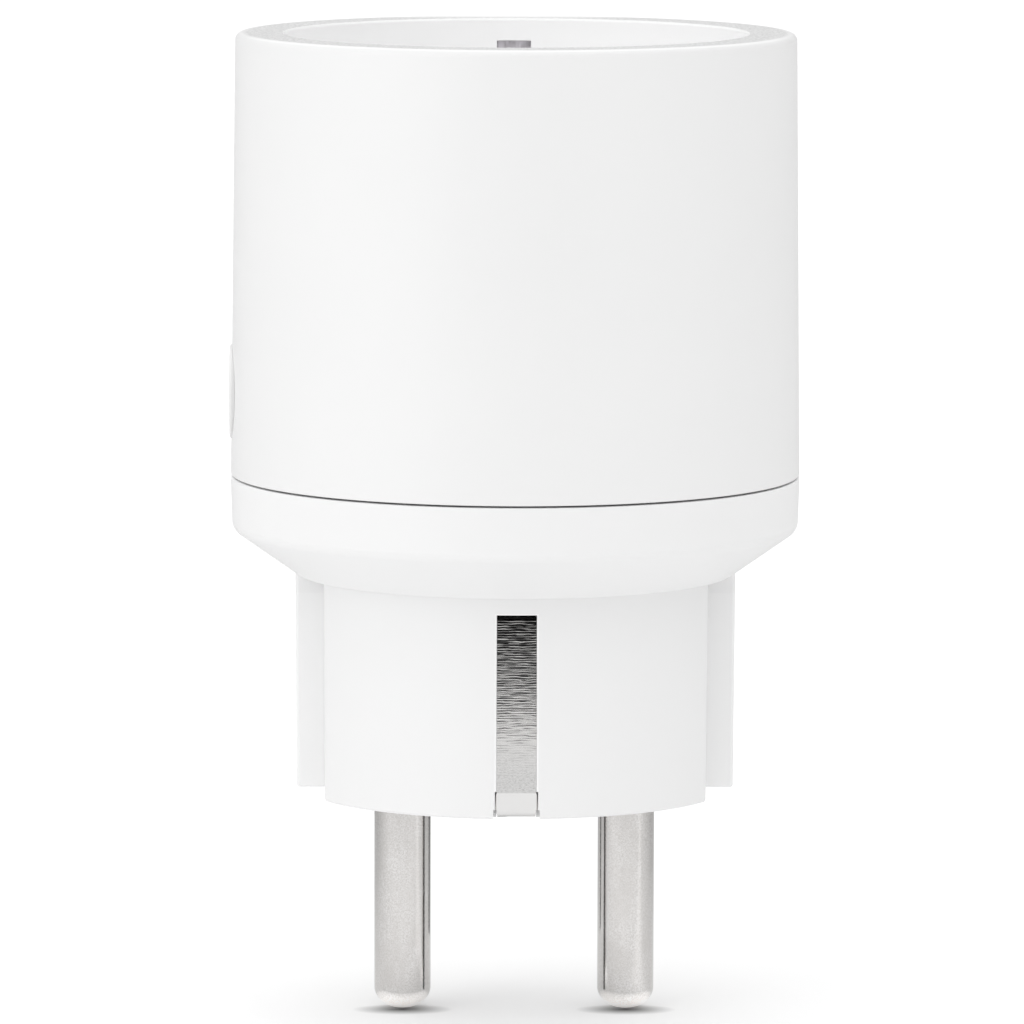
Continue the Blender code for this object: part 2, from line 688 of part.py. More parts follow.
def plug_earth_strip(name, turn, metal):
    """A side contact of the plug: it fills the slot, folds under at the foot and runs up inside."""
    y, tail_y = -PLUG_STRIP_Y, -PLUG_STRIP_TAIL_Y
    bend_z = PLUG_SLOT_TOP_Z - 0.25 * MM
    profile = [(tail_y, BRIDGE_TOP_Z + 0.2 * MM), (tail_y, PLUG_SLOT_TOP_Z + 0.15 * MM)]
    steps = 6
    for i in range(steps):
        share = i / steps
        z = bend_z + (PLUG_STRIP_FOLD_Z - bend_z) * share
        profile.append((y - PLUG_STRIP_BOW * math.sin(math.pi * share), z))
    profile += [(y, PLUG_STRIP_FOLD_Z), (y + 0.35 * MM, 0.75 * MM), (y + 0.8 * MM, 0.45 * MM)]
    profile += [(y + 1.5 * MM, 0.45 * MM), (y + 1.9 * MM, 0.85 * MM), (y + 1.9 * MM, 3.2 * MM)]
    return bent_strip(name, profile, PLUG_STRIP_WIDTH, PLUG_STRIP_THICKNESS, metal, turn)


def socket_earth_clip(name, turn, metal):
    """A spring contact of the socket: from the slot's top it bows into the recess, then runs down inside."""
    tail = SOCKET_CLIP_TAIL_Y
    wall = SOCKET_RADIUS
    profile = [
        (wall + 0.5 * MM, SOCKET_CLIP_TOP_Z),
        (wall + 0.1 * MM, SOCKET_CLIP_TOP_Z - 2.2 * MM),
        (wall - 1.3 * MM, SOCKET_CLIP_TOP_Z - 5.2 * MM),
        (wall - 1.75 * MM, SOCKET_CLIP_TOP_Z - 7.2 * MM),
        (wall - 1.6 * MM, SOCKET_CLIP_TOP_Z - 9.2 * MM),
        (wall - 0.4 * MM, SOCKET_FLOOR_Z + 1.2 * MM),
        (wall - 0.2 * MM, FLOOR_UNDERSIDE_Z + 1.0 * MM),
        (tail, FLOOR_UNDERSIDE_Z - 1.2 * MM),
        (tail, MAIN_PCB_TOP_Z + 1.4 * MM),
    ]
    return bent_strip(name, profile, SOCKET_CLIP_WIDTH, SOCKET_CLIP_THICKNESS, metal, turn)


def earth_bridge(metal):
    """A half ring of strip on the +X side that ties the front earth contacts to the rear ones."""
    half = BRIDGE_THICKNESS / 2
    reach = 94
    outline = arc((0, 0), BRIDGE_RADIUS + half, -reach, reach, 25)
    outline += arc((0, 0), BRIDGE_RADIUS - half, reach, -reach, 25)
    return plate("earth_bridge", [outline], BRIDGE_BOTTOM_Z, BRIDGE_TOP_Z, metal)


def socket_contact(name, side, metal):
    """A sprung tube that grips the appliance's pin: four fingers on a closed foot."""
    x = side * PIN_SPACING / 2
    foot_z = MAIN_PCB_TOP_Z + 0.6 * MM
    top_z = COVER_TOP_Z - COVER_THICKNESS - 0.5 * MM
    outer, inner = 3.2 * MM, 2.6 * MM
    profile = [
        (0, foot_z + 0.7 * MM),
        (inner, foot_z + 0.7 * MM),
        (inner, top_z - 1.2 * MM),
        (inner + 0.6 * MM, top_z),
        (outer + 0.6 * MM, top_z),
        (outer, top_z - 1.2 * MM),
        (outer, foot_z),
        (0, foot_z),
    ]
    tube = turned(name, profile, metal, (x, 0, 0))
    slot = 0.4 * MM
    reach = 5 * MM
    low_z = foot_z + 3.4 * MM
    across = block("finger_slot_x", (x - reach, -slot, low_z), (x + reach, slot, top_z + 1 * MM))
    along = block("finger_slot_y", (x - slot, -reach, low_z), (x + slot, reach, top_z + 1 * MM))
    return cut(tube, across, along)


# ---------------------------------------------------------------- child-safety shutter


def sector(half_angle, inner, outer, middle):
    """The outline of a ring sector around the direction middle, angles in radians."""
    low, high = math.degrees(middle - half_angle), math.degrees(middle + half_angle)
    return arc((0, 0), outer, low, high, 7) + arc((0, 0), inner, high, low, 5)


def shutter(plastic):
    """A hub with two wings that cover the pin holes, turning about the post."""
    hub = [
        (SHUTTER_POST_RADIUS + 0.3 * MM, SHUTTER_TOP_Z),
        (SHUTTER_HUB_RADIUS, SHUTTER_TOP_Z),
        (SHUTTER_HUB_RADIUS, SHUTTER_BOTTOM_Z),
        (SHUTTER_HUB_RADIUS - 0.9 * MM, SHUTTER_BOTTOM_Z),
        (SHUTTER_HUB_RADIUS - 0.9 * MM, SHUTTER_PAD_Z + 0.4 * MM),
        (SHUTTER_POST_RADIUS + 0.3 * MM, SHUTTER_PAD_Z + 0.4 * MM),
    ]
    body = turned("shutter", hub, plastic, closed=True)
    wings = []
    for name, middle in (("wing_right", 0.0), ("wing_left", math.pi)):
        inner = SHUTTER_HUB_RADIUS - 0.4 * MM
        outline = sector(SHUTTER_PAD_HALF_ANGLE, inner, SHUTTER_WING_RADIUS, middle)
        wings.append(plate(name, [outline], SHUTTER_PAD_Z, SHUTTER_TOP_Z - 0.2 * MM))
    return join(body, *wings)


def shutter_spring(metal):
    """A flat torsion spring around the post, with its fixed leg down in the cover."""
    turns, per_turn = 1.75, 14
    count = int(turns * per_turn) + 1
    coil_radius = 2.45 * MM
    low_z, high_z = SHUTTER_BOTTOM_Z + 0.15 * MM, SHUTTER_PAD_Z + 0.05 * MM
    points = [(coil_radius, 0, COVER_TOP_Z - 0.8 * MM)]
    for i in range(count):
        angle = math.tau * i / per_turn
        height = low_z + (high_z - low_z) * i / (count - 1)
        points.append((coil_radius * math.cos(angle), coil_radius * math.sin(angle), height))
    return wire("shutter_spring", points, 0.17 * MM, metal)


def shutter_cover(plastic):
    """The disc that closes the shutter's chamber from below."""
    holes = [circle((side * PIN_SPACING / 2, 0), PIN_HOLE_RADIUS) for side in (-1, 1)]
    holes += [circle((0, side * COVER_SCREW_Y), 1.3 * MM) for side in (-1, 1)]
    holes.append(circle((0, 0), SHUTTER_POST_RADIUS + 0.2 * MM))
    holes.append(circle((2.55 * MM, 0), 0.45 * MM, 12))
    outline = circle((0, 0), COVER_RADIUS, 48)
    return plate("shutter_cover", [outline] + holes, COVER_TOP_Z - COVER_THICKNESS, COVER_TOP_Z, plastic)


def pan_screw(name, position, shaft_length, points_up, metal):
    """A small self-tapping screw: its head's bearing face is at position."""
    direction = 1 if points_up else -1
    head, shaft, crown = SCREW_HEAD_RADIUS, SCREW_SHAFT_RADIUS, SCREW_HEAD_HEIGHT
    profile = [(0, crown), (head * 0.75, crown), (head, crown * 0.6), (head, 0)]
    profile += [(shaft, 0), (shaft, -shaft_length + shaft), (0, -shaft_length)]
    screw = turned(name, profile, metal, position, 20)
    if direction > 0:
        screw.rotation_euler = (math.pi, 0, 0)
    slot_z = position[2] - direction * crown
    slots = []
    for long_side in ((0.9 * MM, 0.22 * MM), (0.22 * MM, 0.9 * MM)):
        half_x, half_y = long_side
        low = (position[0] - half_x, position[1] - half_y, slot_z - 0.6 * MM)
        high = (position[0] + half_x, position[1] + half_y, slot_z + 0.6 * MM)
        slots.append(block("screw_slot", low, high))
    return cut(screw, *slots)


# ---------------------------------------------------------------- push button


def button_cap(white):
    """The flat round button: a disc that passes through the sleeve and a flange that stays inside."""
    edge = 0.18 * MM
    inner_x = BUTTON_FLANGE_X + BUTTON_FLANGE_THICKNESS
    reach = -BUTTON_FACE_X
    profile = [
        (0, reach),
        (BUTTON_RADIUS - edge, reach),
        (BUTTON_RADIUS - 0.3 * edge, reach - 0.3 * edge),
        (BUTTON_RADIUS, reach - edge),
        (BUTTON_RADIUS, -BUTTON_FLANGE_X),
        (BUTTON_FLANGE_RADIUS, -BUTTON_FLANGE_X),
        (BUTTON_FLANGE_RADIUS, -inner_x),
        (0, -inner_x),
    ]
    cap = turned("button_cap", profile, white, (0, 0, BUTTON_Z), 48)
    cap.rotation_euler = (0, -math.pi / 2, 0)
    return cap


def tact_switch(black, grey):
    """The switch body on the control board and its plunger."""
    half = SWITCH_SIZE / 2
    inner_x = CONTROL_PCB_X - CONTROL_PCB_THICKNESS / 2 - ASSEMBLY_GAP
    low = (SWITCH_OUTER_X, -half, BUTTON_Z - half)
    body = block("tact_switch_body", low, (inner_x, half, BUTTON_Z + half), black)
    soften(body, 0.3 * MM)
    hole_end = PLUNGER_INNER_X + 0.9 * MM
    start = (SWITCH_OUTER_X - 1 * MM, 0, BUTTON_Z)
    cut(body, rod("plunger_hole", PLUNGER_RADIUS + 0.2 * MM, start, (hole_end, 0, BUTTON_Z)))
    profile = [
        (0, -PLUNGER_OUTER_X),
        (PLUNGER_RADIUS - 0.2 * MM, -PLUNGER_OUTER_X),
        (PLUNGER_RADIUS, -PLUNGER_OUTER_X - 0.2 * MM),
        (PLUNGER_RADIUS, -PLUNGER_INNER_X),
        (0, -PLUNGER_INNER_X),
    ]
    plunger = turned("tact_plunger", profile, grey, (0, 0, BUTTON_Z))
    plunger.rotation_euler = (0, -math.pi / 2, 0)
    return body, plunger


# ---------------------------------------------------------------- circuit boards and components


def main_board(green):
    """The round power board, notched where the earth strips pass."""
    half, deep = PCB_NOTCH_HALF_WIDTH, PCB_NOTCH_Y
    start = math.degrees(math.asin(half / MAIN_PCB_RADIUS))
    outline = []
    for middle, side in ((90, 1), (270, -1)):
        outline += [(side * half, side * deep), (-side * half, side * deep)]
        outline += arc((0, 0), MAIN_PCB_RADIUS, middle + start, middle + 180 - start, 25)
    holes = [circle((side * PIN_SPACING / 2, 0), PIN_TAIL_HOLE_RADIUS, 16) for side in (-1, 1)]
    screws = [(side * PCB_SCREW_X, side * PCB_SCREW_Y) for side in (-1, 1)]
    holes += [circle(place_at, SCREW_HOLE_RADIUS, 16) for place_at in screws]
    return plate("main_pcb", [outline] + holes, MAIN_PCB_Z, MAIN_PCB_TOP_Z, green)


def control_board(green):
    """The upright board behind the button."""
    half, wide = CONTROL_PCB_THICKNESS / 2, CONTROL_PCB_HALF_WIDTH
    low = (CONTROL_PCB_X - half, -wide, ON_BOARD_Z)
    return block("control_pcb", low, (CONTROL_PCB_X + half, wide, CONTROL_PCB_TOP_Z), green)


def can_profile(radius, height, groove):
    """An upright aluminium can with a groove near its foot, resting on height 0."""
    return [
        (0, height),
        (radius - groove, height),
        (radius, height - groove),
        (radius, 2.4 * groove + 0.6 * MM),
        (radius - groove, 1.4 * groove + 0.6 * MM),
        (radius, 0.4 * groove + 0.6 * MM),
        (radius, 0.2 * MM),
        (radius - 0.2 * MM, 0),
        (0, 0),
    ]


def hanging_can(name, radius, height, x, y, material):
    """A capacitor can that hangs from the main board with its foot at the board."""
    can = turned(name, can_profile(radius, height, 0.35 * MM), material, (x, y, UNDER_BOARD_Z))
    can.rotation_euler = (math.pi, 0, 0)
    return can


def relay(casing, base_plastic, copper, steel):
    """Case, base, coil, yoke and armature of the power relay, hanging from the main board."""
    x, near_y, far_y = RELAY_LENGTH / 2, RELAY_Y - RELAY_WIDTH / 2, RELAY_Y + RELAY_WIDTH / 2
    base_z = UNDER_BOARD_Z - RELAY_BASE_THICKNESS
    block("relay_base", (-x, near_y, base_z), (x, far_y, UNDER_BOARD_Z), base_plastic)
    case_top = base_z - ASSEMBLY_GAP
    case = block("relay_case", (-x, near_y, RELAY_BOTTOM_Z), (x, far_y, case_top), casing)
    soften(case, 0.4 * MM)
    low = (RELAY_WALL - x, near_y + RELAY_WALL, RELAY_BOTTOM_Z + RELAY_WALL)
    high = (x - RELAY_WALL, far_y - RELAY_WALL, case_top + 1 * MM)
    cut(case, block("case_cavity", low, high))
    relay_coil(copper)
    relay_yoke(steel)
    relay_armature(steel)


def relay_coil(copper):
    """The wound spool, lying along X between the yoke and the armature."""
    flange, winding, half, lip = 3.9 * MM, 3.4 * MM, 4.75 * MM, 0.6 * MM
    profile = [
        (0, half),
        (flange, half),
        (flange, half - lip),
        (winding, half - lip),
        (winding, lip - half),
        (flange, lip - half),
        (flange, -half),
        (0, -half),
    ]
    coil = turned("relay_coil", profile, copper, (COIL_X, RELAY_Y, COIL_Z))
    coil.rotation_euler = (0, math.pi / 2, 0)
    return coil


def relay_yoke(steel):
    """The L-shaped iron frame: a floor under the coil and a wall behind it."""
    near_y, far_y = RELAY_Y - YOKE_HALF_WIDTH, RELAY_Y + YOKE_HALF_WIDTH
    floor_high = (YOKE_FRONT_X, far_y, YOKE_BOTTOM_Z + YOKE_THICKNESS)
    floor = block("relay_yoke", (YOKE_BACK_X, near_y, YOKE_BOTTOM_Z), floor_high, steel)
    wall_low = (YOKE_BACK_X, near_y, YOKE_BOTTOM_Z + 0.1 * MM)
    wall = block("yoke_wall", wall_low, (YOKE_BACK_X + YOKE_THICKNESS, far_y, YOKE_TOP_Z))
    return join(floor, wall)


def relay_armature(steel):
    """The iron flap in front of the coil, with its origin on its hinge line."""
    half = YOKE_THICKNESS / 2
    pivot = Vector((ARMATURE_PIVOT_X, RELAY_Y, ARMATURE_PIVOT_Z))
    low = pivot + Vector((-half, -ARMATURE_HALF_WIDTH, ASSEMBLY_GAP))
    high = (ARMATURE_PIVOT_X + half, RELAY_Y + ARMATURE_HALF_WIDTH, ARMATURE_TOP_Z)
    armature = block("relay_armature", low, high, steel)
    armature.data.transform(Matrix.Translation(armature.location - pivot))
    armature.location = pivot
    return armature


def shunt_resistor(metal):
    """A low-ohm bridge of thick strip that stands on the board."""
    foot, shoulder, top = ON_BOARD_Z, ON_BOARD_Z + 2.6 * MM, ON_BOARD_Z + 3.2 * MM
    profile = [(-2.2 * MM, foot), (-2.2 * MM, shoulder), (-1.6 * MM, top)]
    profile += [(-y, height) for y, height in reversed(profile)]
    strip = bent_strip("shunt_resistor", profile, 2.6 * MM, 0.6 * MM, metal, math.pi / 2)
    strip.location = (SHUNT_X, SHUNT_Y, 0)
    return strip


def board_block(name, footprint, low_z, material, edge=0.0):
    """A component body of the given footprint and height, its lower face at low_z."""
    from_x, from_y, to_x, to_y, height = footprint
    body = block(name, (from_x, from_y, low_z), (to_x, to_y, low_z + height), material)
    return soften(body, edge, 2) if edge else body


def top_side_parts(board, shield, black, yellow, ceramic):
    """The blocks that stand on the main board, between and beside the two socket contacts."""
    board_block("film_capacitor", FILM_CAPACITOR, ON_BOARD_Z, yellow, 0.5 * MM)
    board_block("fuse", FUSE, ON_BOARD_Z, ceramic, 0.4 * MM)
    board_block("radio_module", RADIO_MODULE, ON_BOARD_Z, board)
    shield_z = ON_BOARD_Z + RADIO_MODULE[4] + ASSEMBLY_GAP
    board_block("radio_shield", RADIO_SHIELD, shield_z, shield, 0.25 * MM)
    board_block("metering_chip", METERING_CHIP, ON_BOARD_Z, black, 0.15 * MM)
    board_block("voltage_regulator", VOLTAGE_REGULATOR, ON_BOARD_Z, black, 0.15 * MM)


def surge_varistor(blue):
    """The coated disc that stands upright between the fuse and the film capacitor."""
    rim, crown = (4.4 * MM, 0.8 * MM), (3.8 * MM, 1.4 * MM)
    disc = [(0, 1.5 * MM), crown, rim]
    disc += [(radius, -height) for radius, height in reversed(disc)]
    varistor = turned("surge_varistor", disc, blue, (0, VARISTOR_Y, ON_BOARD_Z + rim[0] + 0.4 * MM))
    varistor.rotation_euler = (math.pi / 2, 0, 0)
    return varistor


def filter_inductor(ferrite):
    """A drum core that hangs from the main board."""
    radius, height, x, y = FILTER_INDUCTOR
    flange, waist = 1.0 * MM, radius - 0.4 * MM
    slope = 0.2 * MM
    drum = [
        (0, height),
        (radius, height),
        (radius, height - flange),
        (waist, height - flange - slope),
        (waist, flange + slope),
        (radius, flange),
        (radius, 0),
        (0, 0),
    ]
    inductor = turned("filter_inductor", drum, ferrite, (x, y, UNDER_BOARD_Z))
    inductor.rotation_euler = (math.pi, 0, 0)
    return inductor


def under_side_parts(sleeve, black, ferrite):
    """The components that hang from the main board beside the relay."""
    hanging_can("bulk_capacitor", *BULK_CAPACITOR, sleeve)
    hanging_can("output_capacitor", *OUTPUT_CAPACITOR, sleeve)
    filter_inductor(ferrite)
    low_z = UNDER_BOARD_Z - BRIDGE_RECTIFIER[4]
    board_block("bridge_rectifier", BRIDGE_RECTIFIER, low_z, black, 0.2 * MM)


def status_led(clear):
    """The small lamp next to the switch."""
    x = CONTROL_PCB_X - CONTROL_PCB_THICKNESS / 2 - ASSEMBLY_GAP
    low = (x - 0.8 * MM, -0.8 * MM, BUTTON_Z + 4.4 * MM)
    return soften(block("status_led", low, (x, 0.8 * MM, BUTTON_Z + 5.6 * MM), clear), 0.2 * MM)


# ---------------------------------------------------------------- assembly


def build():
    """Make every part in its place."""
    clear_scene()
    upper_housing(make_material("white_housing_upper", (0.90, 0.90, 0.90), 0.42))
    lower_housing(make_material("white_housing_lower", (0.90, 0.90, 0.90), 0.42))

    nickel = make_material("nickel_plated_brass", (0.62, 0.60, 0.58), 0.32, 1.0)
    mains_pin("line_pin", -1, nickel)
    mains_pin("neutral_pin", 1, nickel)
    pin_retainer(make_material("grey_insulator", (0.35, 0.36, 0.38), 0.55))

    tin = make_material("nickel_strip", (0.55, 0.54, 0.53), 0.30, 1.0)
    plug_earth_strip("plug_earth_strip_front", 0.0, tin)
    plug_earth_strip("plug_earth_strip_rear", math.pi, tin)
    clip = make_material("socket_clip_metal", (0.40, 0.38, 0.42), 0.35, 1.0)
    socket_earth_clip("socket_earth_clip_rear", 0.0, clip)
    socket_earth_clip("socket_earth_clip_front", math.pi, clip)
    earth_bridge(make_material("brass_strip", (0.70, 0.52, 0.25), 0.35, 1.0))
    bronze = make_material("phosphor_bronze", (0.66, 0.42, 0.24), 0.35, 1.0)
    socket_contact("line_socket_contact", -1, bronze)
    socket_contact("neutral_socket_contact", 1, bronze)

    shutter(make_material("shutter_plastic", (0.80, 0.80, 0.80), 0.5))
    shutter_spring(make_material("spring_steel", (0.55, 0.55, 0.56), 0.3, 1.0))
    shutter_cover(make_material("cover_plastic", (0.75, 0.75, 0.74), 0.5))

    zinc = make_material("zinc_plated_screw", (0.60, 0.61, 0.63), 0.3, 1.0)
    under_cover_z = COVER_TOP_Z - COVER_THICKNESS - ASSEMBLY_GAP
    pan_screw("cover_screw_front", (0, -COVER_SCREW_Y, under_cover_z), 4.2 * MM, True, zinc)
    pan_screw("cover_screw_rear", (0, COVER_SCREW_Y, under_cover_z), 4.2 * MM, True, zinc)
    pan_screw("board_screw_front", (-PCB_SCREW_X, -PCB_SCREW_Y, ON_BOARD_Z), 5.2 * MM, False, zinc)
    pan_screw("board_screw_rear", (PCB_SCREW_X, PCB_SCREW_Y, ON_BOARD_Z), 5.2 * MM, False, zinc)
    over_retainer_z = RETAINER_Z + RETAINER_THICKNESS + ASSEMBLY_GAP
    pan_screw("retainer_screw_front", (0, -RETAINER_SCREW_Y, over_retainer_z), 5.0 * MM, False, zinc)
    pan_screw("retainer_screw_rear", (0, RETAINER_SCREW_Y, over_retainer_z), 5.0 * MM, False, zinc)

    button_cap(make_material("white_button", (0.82, 0.82, 0.82), 0.38))
    black = make_material("black_component", (0.02, 0.02, 0.022), 0.5)
    tact_switch(black, make_material("plunger_plastic", (0.10, 0.10, 0.11), 0.45))
    status_led(make_material("led_resin", (0.85, 0.86, 0.80), 0.2))

    green = make_material("board_green", (0.02, 0.13, 0.06), 0.45)
    main_board(green)
    control_board(green)
    relay_case = make_material("relay_black", (0.025, 0.025, 0.03), 0.4)
    copper = make_material("enamelled_copper", (0.60, 0.25, 0.10), 0.35, 0.9)
    relay(relay_case, black, copper, make_material("soft_iron", (0.45, 0.45, 0.46), 0.4, 1.0))
    shunt_resistor(make_material("shunt_alloy", (0.52, 0.40, 0.30), 0.4, 1.0))
    surge_varistor(make_material("varistor_blue", (0.03, 0.09, 0.40), 0.5))
    yellow = make_material("film_cap_yellow", (0.75, 0.55, 0.06), 0.45)
    ceramic = make_material("fuse_brown", (0.16, 0.08, 0.05), 0.5)
    tin_shield = make_material("tin_shield", (0.68, 0.69, 0.70), 0.3, 1.0)
    top_side_parts(green, tin_shield, black, yellow, ceramic)
    sleeve = make_material("capacitor_sleeve", (0.04, 0.05, 0.10), 0.35)
    under_side_parts(sleeve, black, make_material("ferrite", (0.06, 0.06, 0.065), 0.6))


build()
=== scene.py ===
"""Looks of the plug-in power meter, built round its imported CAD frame.

Lengths are in metres in the CAD's frame: the origin is the centre of the plug face, +Z points to the
socket on top, the mains pins lie along X, and the push button is at -X. The pieces that show are
rebuilt here as fine meshes in the places that the frame gives, and every other CAD node keeps its
mesh and gets a material.
"""

import json
import math

import bmesh
import bpy
from mathutils import Matrix, Vector


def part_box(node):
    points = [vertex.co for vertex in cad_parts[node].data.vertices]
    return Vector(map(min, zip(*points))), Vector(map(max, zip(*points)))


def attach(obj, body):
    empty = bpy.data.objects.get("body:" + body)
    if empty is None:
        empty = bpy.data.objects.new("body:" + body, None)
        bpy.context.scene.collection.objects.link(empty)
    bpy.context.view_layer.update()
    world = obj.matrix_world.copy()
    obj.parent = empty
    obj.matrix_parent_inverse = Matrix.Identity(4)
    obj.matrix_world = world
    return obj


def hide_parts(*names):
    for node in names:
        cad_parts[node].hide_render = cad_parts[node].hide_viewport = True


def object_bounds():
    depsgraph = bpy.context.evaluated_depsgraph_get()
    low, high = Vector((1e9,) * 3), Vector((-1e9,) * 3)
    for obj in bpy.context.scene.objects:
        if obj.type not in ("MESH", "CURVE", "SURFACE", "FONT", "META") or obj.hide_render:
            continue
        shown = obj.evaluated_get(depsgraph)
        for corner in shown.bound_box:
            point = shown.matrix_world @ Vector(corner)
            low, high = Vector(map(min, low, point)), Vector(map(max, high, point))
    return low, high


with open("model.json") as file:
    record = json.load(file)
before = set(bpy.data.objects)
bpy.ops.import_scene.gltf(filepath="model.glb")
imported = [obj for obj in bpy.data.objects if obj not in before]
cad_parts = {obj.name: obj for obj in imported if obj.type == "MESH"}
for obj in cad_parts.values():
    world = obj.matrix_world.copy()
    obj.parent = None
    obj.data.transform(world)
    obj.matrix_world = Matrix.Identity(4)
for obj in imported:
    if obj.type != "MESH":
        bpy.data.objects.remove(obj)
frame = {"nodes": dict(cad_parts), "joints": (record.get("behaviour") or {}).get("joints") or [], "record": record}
cad_low, cad_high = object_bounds()

MM = 0.001

# ---------------------------------------------------------------- places taken from the frame


def ring_radius(node, height, reach=0.05 * MM):
    """The widest distance from the Z axis among a CAD node's corners near a height."""
    corners = (v.co for v in frame["nodes"][node].data.vertices)
    return max(math.hypot(c.x, c.y) for c in corners if abs(c.z - height) < reach)


MOUNTS = {mount["name"]: Vector(mount["pos_m"]) for mount in frame["record"]["mounts"]}
JOINTS = {joint["name"]: joint for joint in frame["joints"]}

UPPER_LOW, UPPER_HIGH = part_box("upper_housing")
LOWER_LOW, LOWER_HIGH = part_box("lower_housing")
BUTTON_LOW, BUTTON_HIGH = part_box("button_cap")
LINE_LOW, LINE_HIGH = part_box("line_pin")
NEUTRAL_LOW, NEUTRAL_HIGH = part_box("neutral_pin")
STRIP_LOW, STRIP_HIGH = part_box("plug_earth_strip_front")
CLIP_LOW, CLIP_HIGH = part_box("socket_earth_clip_rear")

RIM_Z = UPPER_HIGH.z
SOCKET_FLOOR_Z = MOUNTS["socket_floor"].z
SLEEVE_FOOT_Z = UPPER_LOW.z
BAND_TOP_Z = 2 * 26.8 * MM - SLEEVE_FOOT_Z
COLLAR_TOP_Z = LOWER_HIGH.z
PLUG_FACE_Z = MOUNTS["plug_face"].z
SEAM_RADIUS = UPPER_HIGH.x
PIN_X = (NEUTRAL_LOW.x + NEUTRAL_HIGH.x) / 2
BUTTON_CENTRE = (BUTTON_LOW + BUTTON_HIGH) / 2
BUTTON_FACE_X = BUTTON_LOW.x

# Sizes that a box can't give, the same as in the CAD
RIM_RADIUS = 23.65 * MM
RIM_ROUNDING = 0.6 * MM
LIP_ROUNDING = 0.25 * MM
SEAM_ROUNDING = 0.14 * MM
SLEEVE_INNER_RADIUS = 21.75 * MM
COLLAR_RADIUS = 21.45 * MM
COLLAR_INNER_RADIUS = 20.2 * MM
SNAP_BEAD = 0.15 * MM
SNAP_BEAD_Z = 29.0 * MM
SOCKET_RADIUS = 19.5 * MM
SOCKET_WALL = 1.4 * MM
FLOOR_THICKNESS = 2.0 * MM
FLOOR_UNDERSIDE_Z = SOCKET_FLOOR_Z - FLOOR_THICKNESS
GUIDE_RIB_WIDTH = 5.0 * MM
GUIDE_RIB_REACH = 16.7 * MM
GUIDE_RIB_TOP_Z = 59.0 * MM
PIN_HOLE_RADIUS = 2.75 * MM
PIN_HOLE_LEAD_RADIUS = 3.7 * MM
PIN_HOLE_LEAD_DEPTH = 0.9 * MM
BAND_FOOT_RADIUS = 23.95 * MM
CONE_TOP_Z = 22.35 * MM
CONE_FOOT_Z = 18.5 * MM
CONE_FOOT_RADIUS = 18.5 * MM
CONE_ROUNDING = 1.1 * MM
PLUG_RADIUS = 18.05 * MM
PLUG_FLAT_X = 16.0 * MM
PLUG_RIB_X = 18.42 * MM
PLUG_RIB_INNER_Y = 3.0 * MM
PLUG_RIB_OUTER_Y = 4.6 * MM
PLUG_RIB_FOOT_Z = 0.65 * MM
PLUG_WALL = 1.8 * MM
PLUG_FACE_THICKNESS = 2.2 * MM
PLUG_DRAFT = math.radians(0.35)
PLUG_SLOT_WIDTH = STRIP_HIGH.x - STRIP_LOW.x + 0.02 * MM
PLUG_SLOT_FLARE = 0.08 * MM
PLUG_SLOT_TOP_Z = 17.1 * MM
PLUG_SLOT_FLOOR_Y = 16.8 * MM
PLUG_POCKET_Y = 14.9 * MM
PLUG_POCKET_TOP_Z = 3.5 * MM
PLUG_CHANNEL_Y = 17.65 * MM
PLUG_STRIP_Y = 17.45 * MM
PLUG_STRIP_TAIL_Y = 17.15 * MM
PLUG_STRIP_THICKNESS = 0.7 * MM
STRIP_FOLD_Z = 2.2 * MM
LUG_TOP_Z = 2.15 * MM
LUG_FOOT_Z = 0.8 * MM
LUG_REACH = 0.13 * MM
PIN_RADIUS = 2.4 * MM
PIN_TIP_HEIGHT = 1.8 * MM
PIN_FIT = 0.12 * MM
SOCKET_SLOT_WIDTH = CLIP_HIGH.x - CLIP_LOW.x + 0.04 * MM
CLIP_TOP_Z = CLIP_HIGH.z - 0.3 * MM
BUTTON_RADIUS = 4.0 * MM
BUTTON_GAP = 0.15 * MM

# Light and floor
HORIZON_LIGHT = 0.38
ZENITH_LIGHT = 1.57
KEY_POWER = 1.45
FLOOR_GLOW = 0.12
SHADOW_REACH = 4.3 * MM
SHADOW_SHIFT = 1.2 * MM
SHADOW_DEPTH_SCALE = 1.7
FLOOR_SEEN = 0.90
FLOOR_BOUNCE = 0.85
FLOOR_AHEAD = 0.78
FLOOR_BEHIND = 0.47

# Facets around a full circle
SHELL_STEPS = 256
FINE_STEPS = 96
COARSE_STEPS = 48

# ---------------------------------------------------------------- outlines


def arc(centre, radius, start, end, count):
    """Points along a circular arc, angles in degrees, both ends included."""
    points = []
    for i in range(count):
        angle = math.radians(start + (end - start) * i / (count - 1))
        points.append((centre[0] + radius * math.cos(angle), centre[1] + radius * math.sin(angle)))
    return points


def line(start, end, count):
    """Evenly spaced points from start up to, and without, end."""
    steps = [i / count for i in range(count)]
    return [(start[0] + (end[0] - start[0]) * t, start[1] + (end[1] - start[1]) * t) for t in steps]


def fillet(before, corner, after, radius, count=5):
    """Points of the arc that rounds a corner between two straight stretches."""
    corner = Vector(corner)
    to_before = (Vector(before) - corner).normalized()
    to_after = (Vector(after) - corner).normalized()
    half = to_before.angle(to_after) / 2
    if radius == 0 or half > math.radians(89.5):
        return [tuple(corner)]
    setback = radius / math.tan(half)
    centre = corner + (to_before + to_after).normalized() * radius / math.sin(half)
    first = corner + to_before * setback - centre
    last = corner + to_after * setback - centre
    turn = first.angle_signed(last)
    points = []
    for i in range(count):
        swing = -turn * i / (count - 1)
        points.append(tuple(centre + Matrix.Rotation(swing, 2) @ first))
    return points


